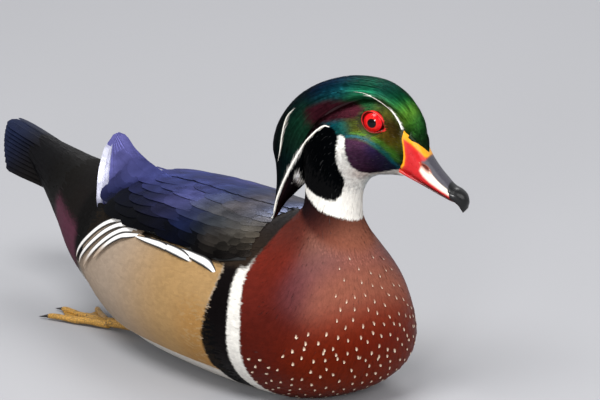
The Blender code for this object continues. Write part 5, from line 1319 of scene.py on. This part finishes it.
def tubeRings(path, radius, around, flat=1.0):
    along = unit(np.gradient(np.asarray(path, float), axis=0))
    across = unit(np.cross(along, (0, 0, 1.0)))
    up = np.cross(across, along)
    angle = np.linspace(0, 2 * np.pi, around, endpoint=False)[None, :, None]
    ring = np.cos(angle) * across[:, None] + flat * np.sin(angle) * up[:, None]
    return np.asarray(path)[:, None] + np.asarray(radius, float)[:, None, None] * ring


def toePath(direction, length, steps):
    angle = np.radians(direction)
    share = np.linspace(0, 1, steps)[:, None]
    path = np.array(leg["toeRoot"]) + share * length * np.array([-np.cos(angle), np.sin(angle), 0])
    path[:, 2] = leg["sole"] + 2.7 - 1.3 * share[:, 0] + 0.5 * np.sin(2 * np.pi * share[:, 0]) ** 2
    return path


def tube(name, side, path, radius, around, material, flat=1.0):
    rings = tubeRings(path, radius, around, flat)
    rings[..., 2] = np.maximum(rings[..., 2], leg["sole"] - 0.1)
    rings = mirror(rings, side)
    obj = loftMesh(name, rings if side > 0 else rings[:, ::-1], material)
    return obj


for name, side in sides.items():
    table = spline(leg["shank"], np.linspace(0, 3, 40))
    ringed = 1 + 0.025 * np.sin(np.arange(40) * 1.6)
    obj = tube("shank_" + name, side, table[:, :3], table[:, 3] * ringed, 28, legMaterial)
    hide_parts("leg_" + name)
    first = None
    paths = []
    for k, (direction, length) in enumerate(leg["toes"]):
        path = toePath(direction, length, 44)
        paths.append(path)
        share = np.linspace(0, 1, 44)
        joints = 0.22 * np.exp(-((np.mod(share * 3.2, 1) - 0.5) / 0.16) ** 2)
        radius = (2.3 - 1.2 * share) * (1 + joints * 0.5)
        body40 = share < 0.88
        obj = tube("toe_%d_%s" % (k + 1, name), side, path[body40], radius[body40] * np.where(share[body40] > 0.85, 0.8, 1), 18, legMaterial)
        if first is None:
            first = obj
        claw = path[share > 0.84]
        tip = np.linspace(1, 0.12, len(claw))
        claw[:, 2] = claw[:, 2] - 0.8 * (1 - tip)
        tube("claw_%d_%s" % (k + 1, name), side, claw, 1.0 * tip, 14, clawMaterial)
    for k in (0, 1):
        a, b = paths[k][:39], paths[k + 1][:39]
        share = np.linspace(0, 1, 14)[None, :, None]
        top = a[:, None] + (b - a)[:, None] * share
        reach = np.linspace(0, 1, len(a))[:, None, None]
        top = top + np.array([1.0, 0, 0]) * 9 * reach * np.sin(np.pi * share)
        top[..., 2] = leg["sole"] + 1.9 - 0.5 * reach[..., 0] + 0.2 * np.sin(8 * np.pi * share[..., 0]) * reach[..., 0]
        low = top - np.array([0, 0, 0.8])
        blank = np.zeros(top.shape)
        grid = shellMesh("web_%d_%s" % (k + 1, name), mirror(low, side), mirror(top, side), legMaterial, blank, blank[..., :2])
    hind = spline([(-90.5, 24.5, 2.4), (-93, 19.5, 2.0), (-97, 15.5, 1.5), (-100, 14, 1.1)], np.linspace(0, 3, 20))
    tube("hind_toe_" + name, side, hind, np.interp(np.linspace(0, 3, 20), [0, 1, 2, 3], [1.5, 1.3, 0.9, 0.35]), 14, legMaterial)
    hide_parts("foot_" + name)
print("legs made")

# Floor, light and camera

floorMaterial, floorTree, floorShader = plainMaterial("matt painted floor", "#A4A4A7", 0.8)
floorPlace = addNode(floorTree, "ShaderNodeTexCoord")
floorNoise = addNode(floorTree, "ShaderNodeTexNoise", {"Scale": 40.0}, {"Vector": floorPlace.outputs["Object"]})
floorBump = addNode(floorTree, "ShaderNodeBump", {"Strength": 0.03, "Distance": 0.001}, {"Height": floorNoise.outputs["Fac"]})
floorTree.links.new(floorBump.outputs[0], floorShader.inputs["Normal"])
floorMesh = bpy.data.meshes.new("floor")
size = 9.0
floorMesh.from_pydata([(-size, -size, 0), (size, -size, 0), (size, size, 0), (-size, size, 0)], [], [(0, 1, 2, 3)])
floorMesh.materials.append(floorMaterial)
floor = bpy.data.objects.new("floor", floorMesh)
bpy.context.scene.collection.objects.link(floor)

studio = {  # azimuth and elevation of each lamp, degrees; distance and size, metres; power, watts
    "key": (25, 60, 1.6, 0.9, 22), "fill": (105, 30, 1.8, 1.4, 11), "rim": (-135, 45, 1.6, 0.8, 9),
    "catch": (44, 14, 1.6, 0.3, 9)}
aim = Vector((0.0, 0.0, 0.08))
for name, (azimuth, height, away, wide, power) in studio.items():
    lamp = bpy.data.lights.new(name, "AREA")
    lamp.shape, lamp.size, lamp.energy = "DISK", wide, power
    lampObject = bpy.data.objects.new(name, lamp)
    az, el = np.radians(azimuth), np.radians(height)
    lampObject.location = aim + Vector((np.sin(az) * np.cos(el), -np.cos(az) * np.cos(el), np.sin(el))) * away
    lampObject.rotation_euler = (aim - lampObject.location).to_track_quat("-Z", "Y").to_euler()
    bpy.context.scene.collection.objects.link(lampObject)
world = bpy.data.worlds.new("pale studio")
world.use_nodes = True
world.node_tree.nodes["Background"].inputs[0].default_value = (*linear("#E4E6EA"), 1)
world.node_tree.nodes["Background"].inputs[1].default_value = 0.66
bpy.context.scene.world = world
bpy.context.scene.view_settings.view_transform = "Standard"

view = {"azimuth": 54.0, "elevation": 15.5, "away": 4.0, "target": (0.030, 0.0, 0.080), "right": 0.00748, "up": 0.01371, "lens": 465.6}
az, el = np.radians(view["azimuth"]), np.radians(view["elevation"])
right = Vector((np.cos(az), np.sin(az), 0))
ahead = Vector((-np.sin(az) * np.cos(el), np.cos(az) * np.cos(el), -np.sin(el)))
camera = bpy.data.objects.new("camera", bpy.data.cameras.new("camera"))
camera.data.lens, camera.data.sensor_width = view["lens"], 36.0
camera.data.clip_end = 30.0
camera.location = Vector(view["target"]) - ahead * view["away"] + right * view["right"] + right.cross(ahead) * view["up"]
camera.rotation_mode = "QUATERNION"
camera.rotation_quaternion = ahead.to_track_quat("-Z", "Y")
bpy.context.scene.collection.objects.link(camera)
bpy.context.scene.camera = camera
print("stage made")
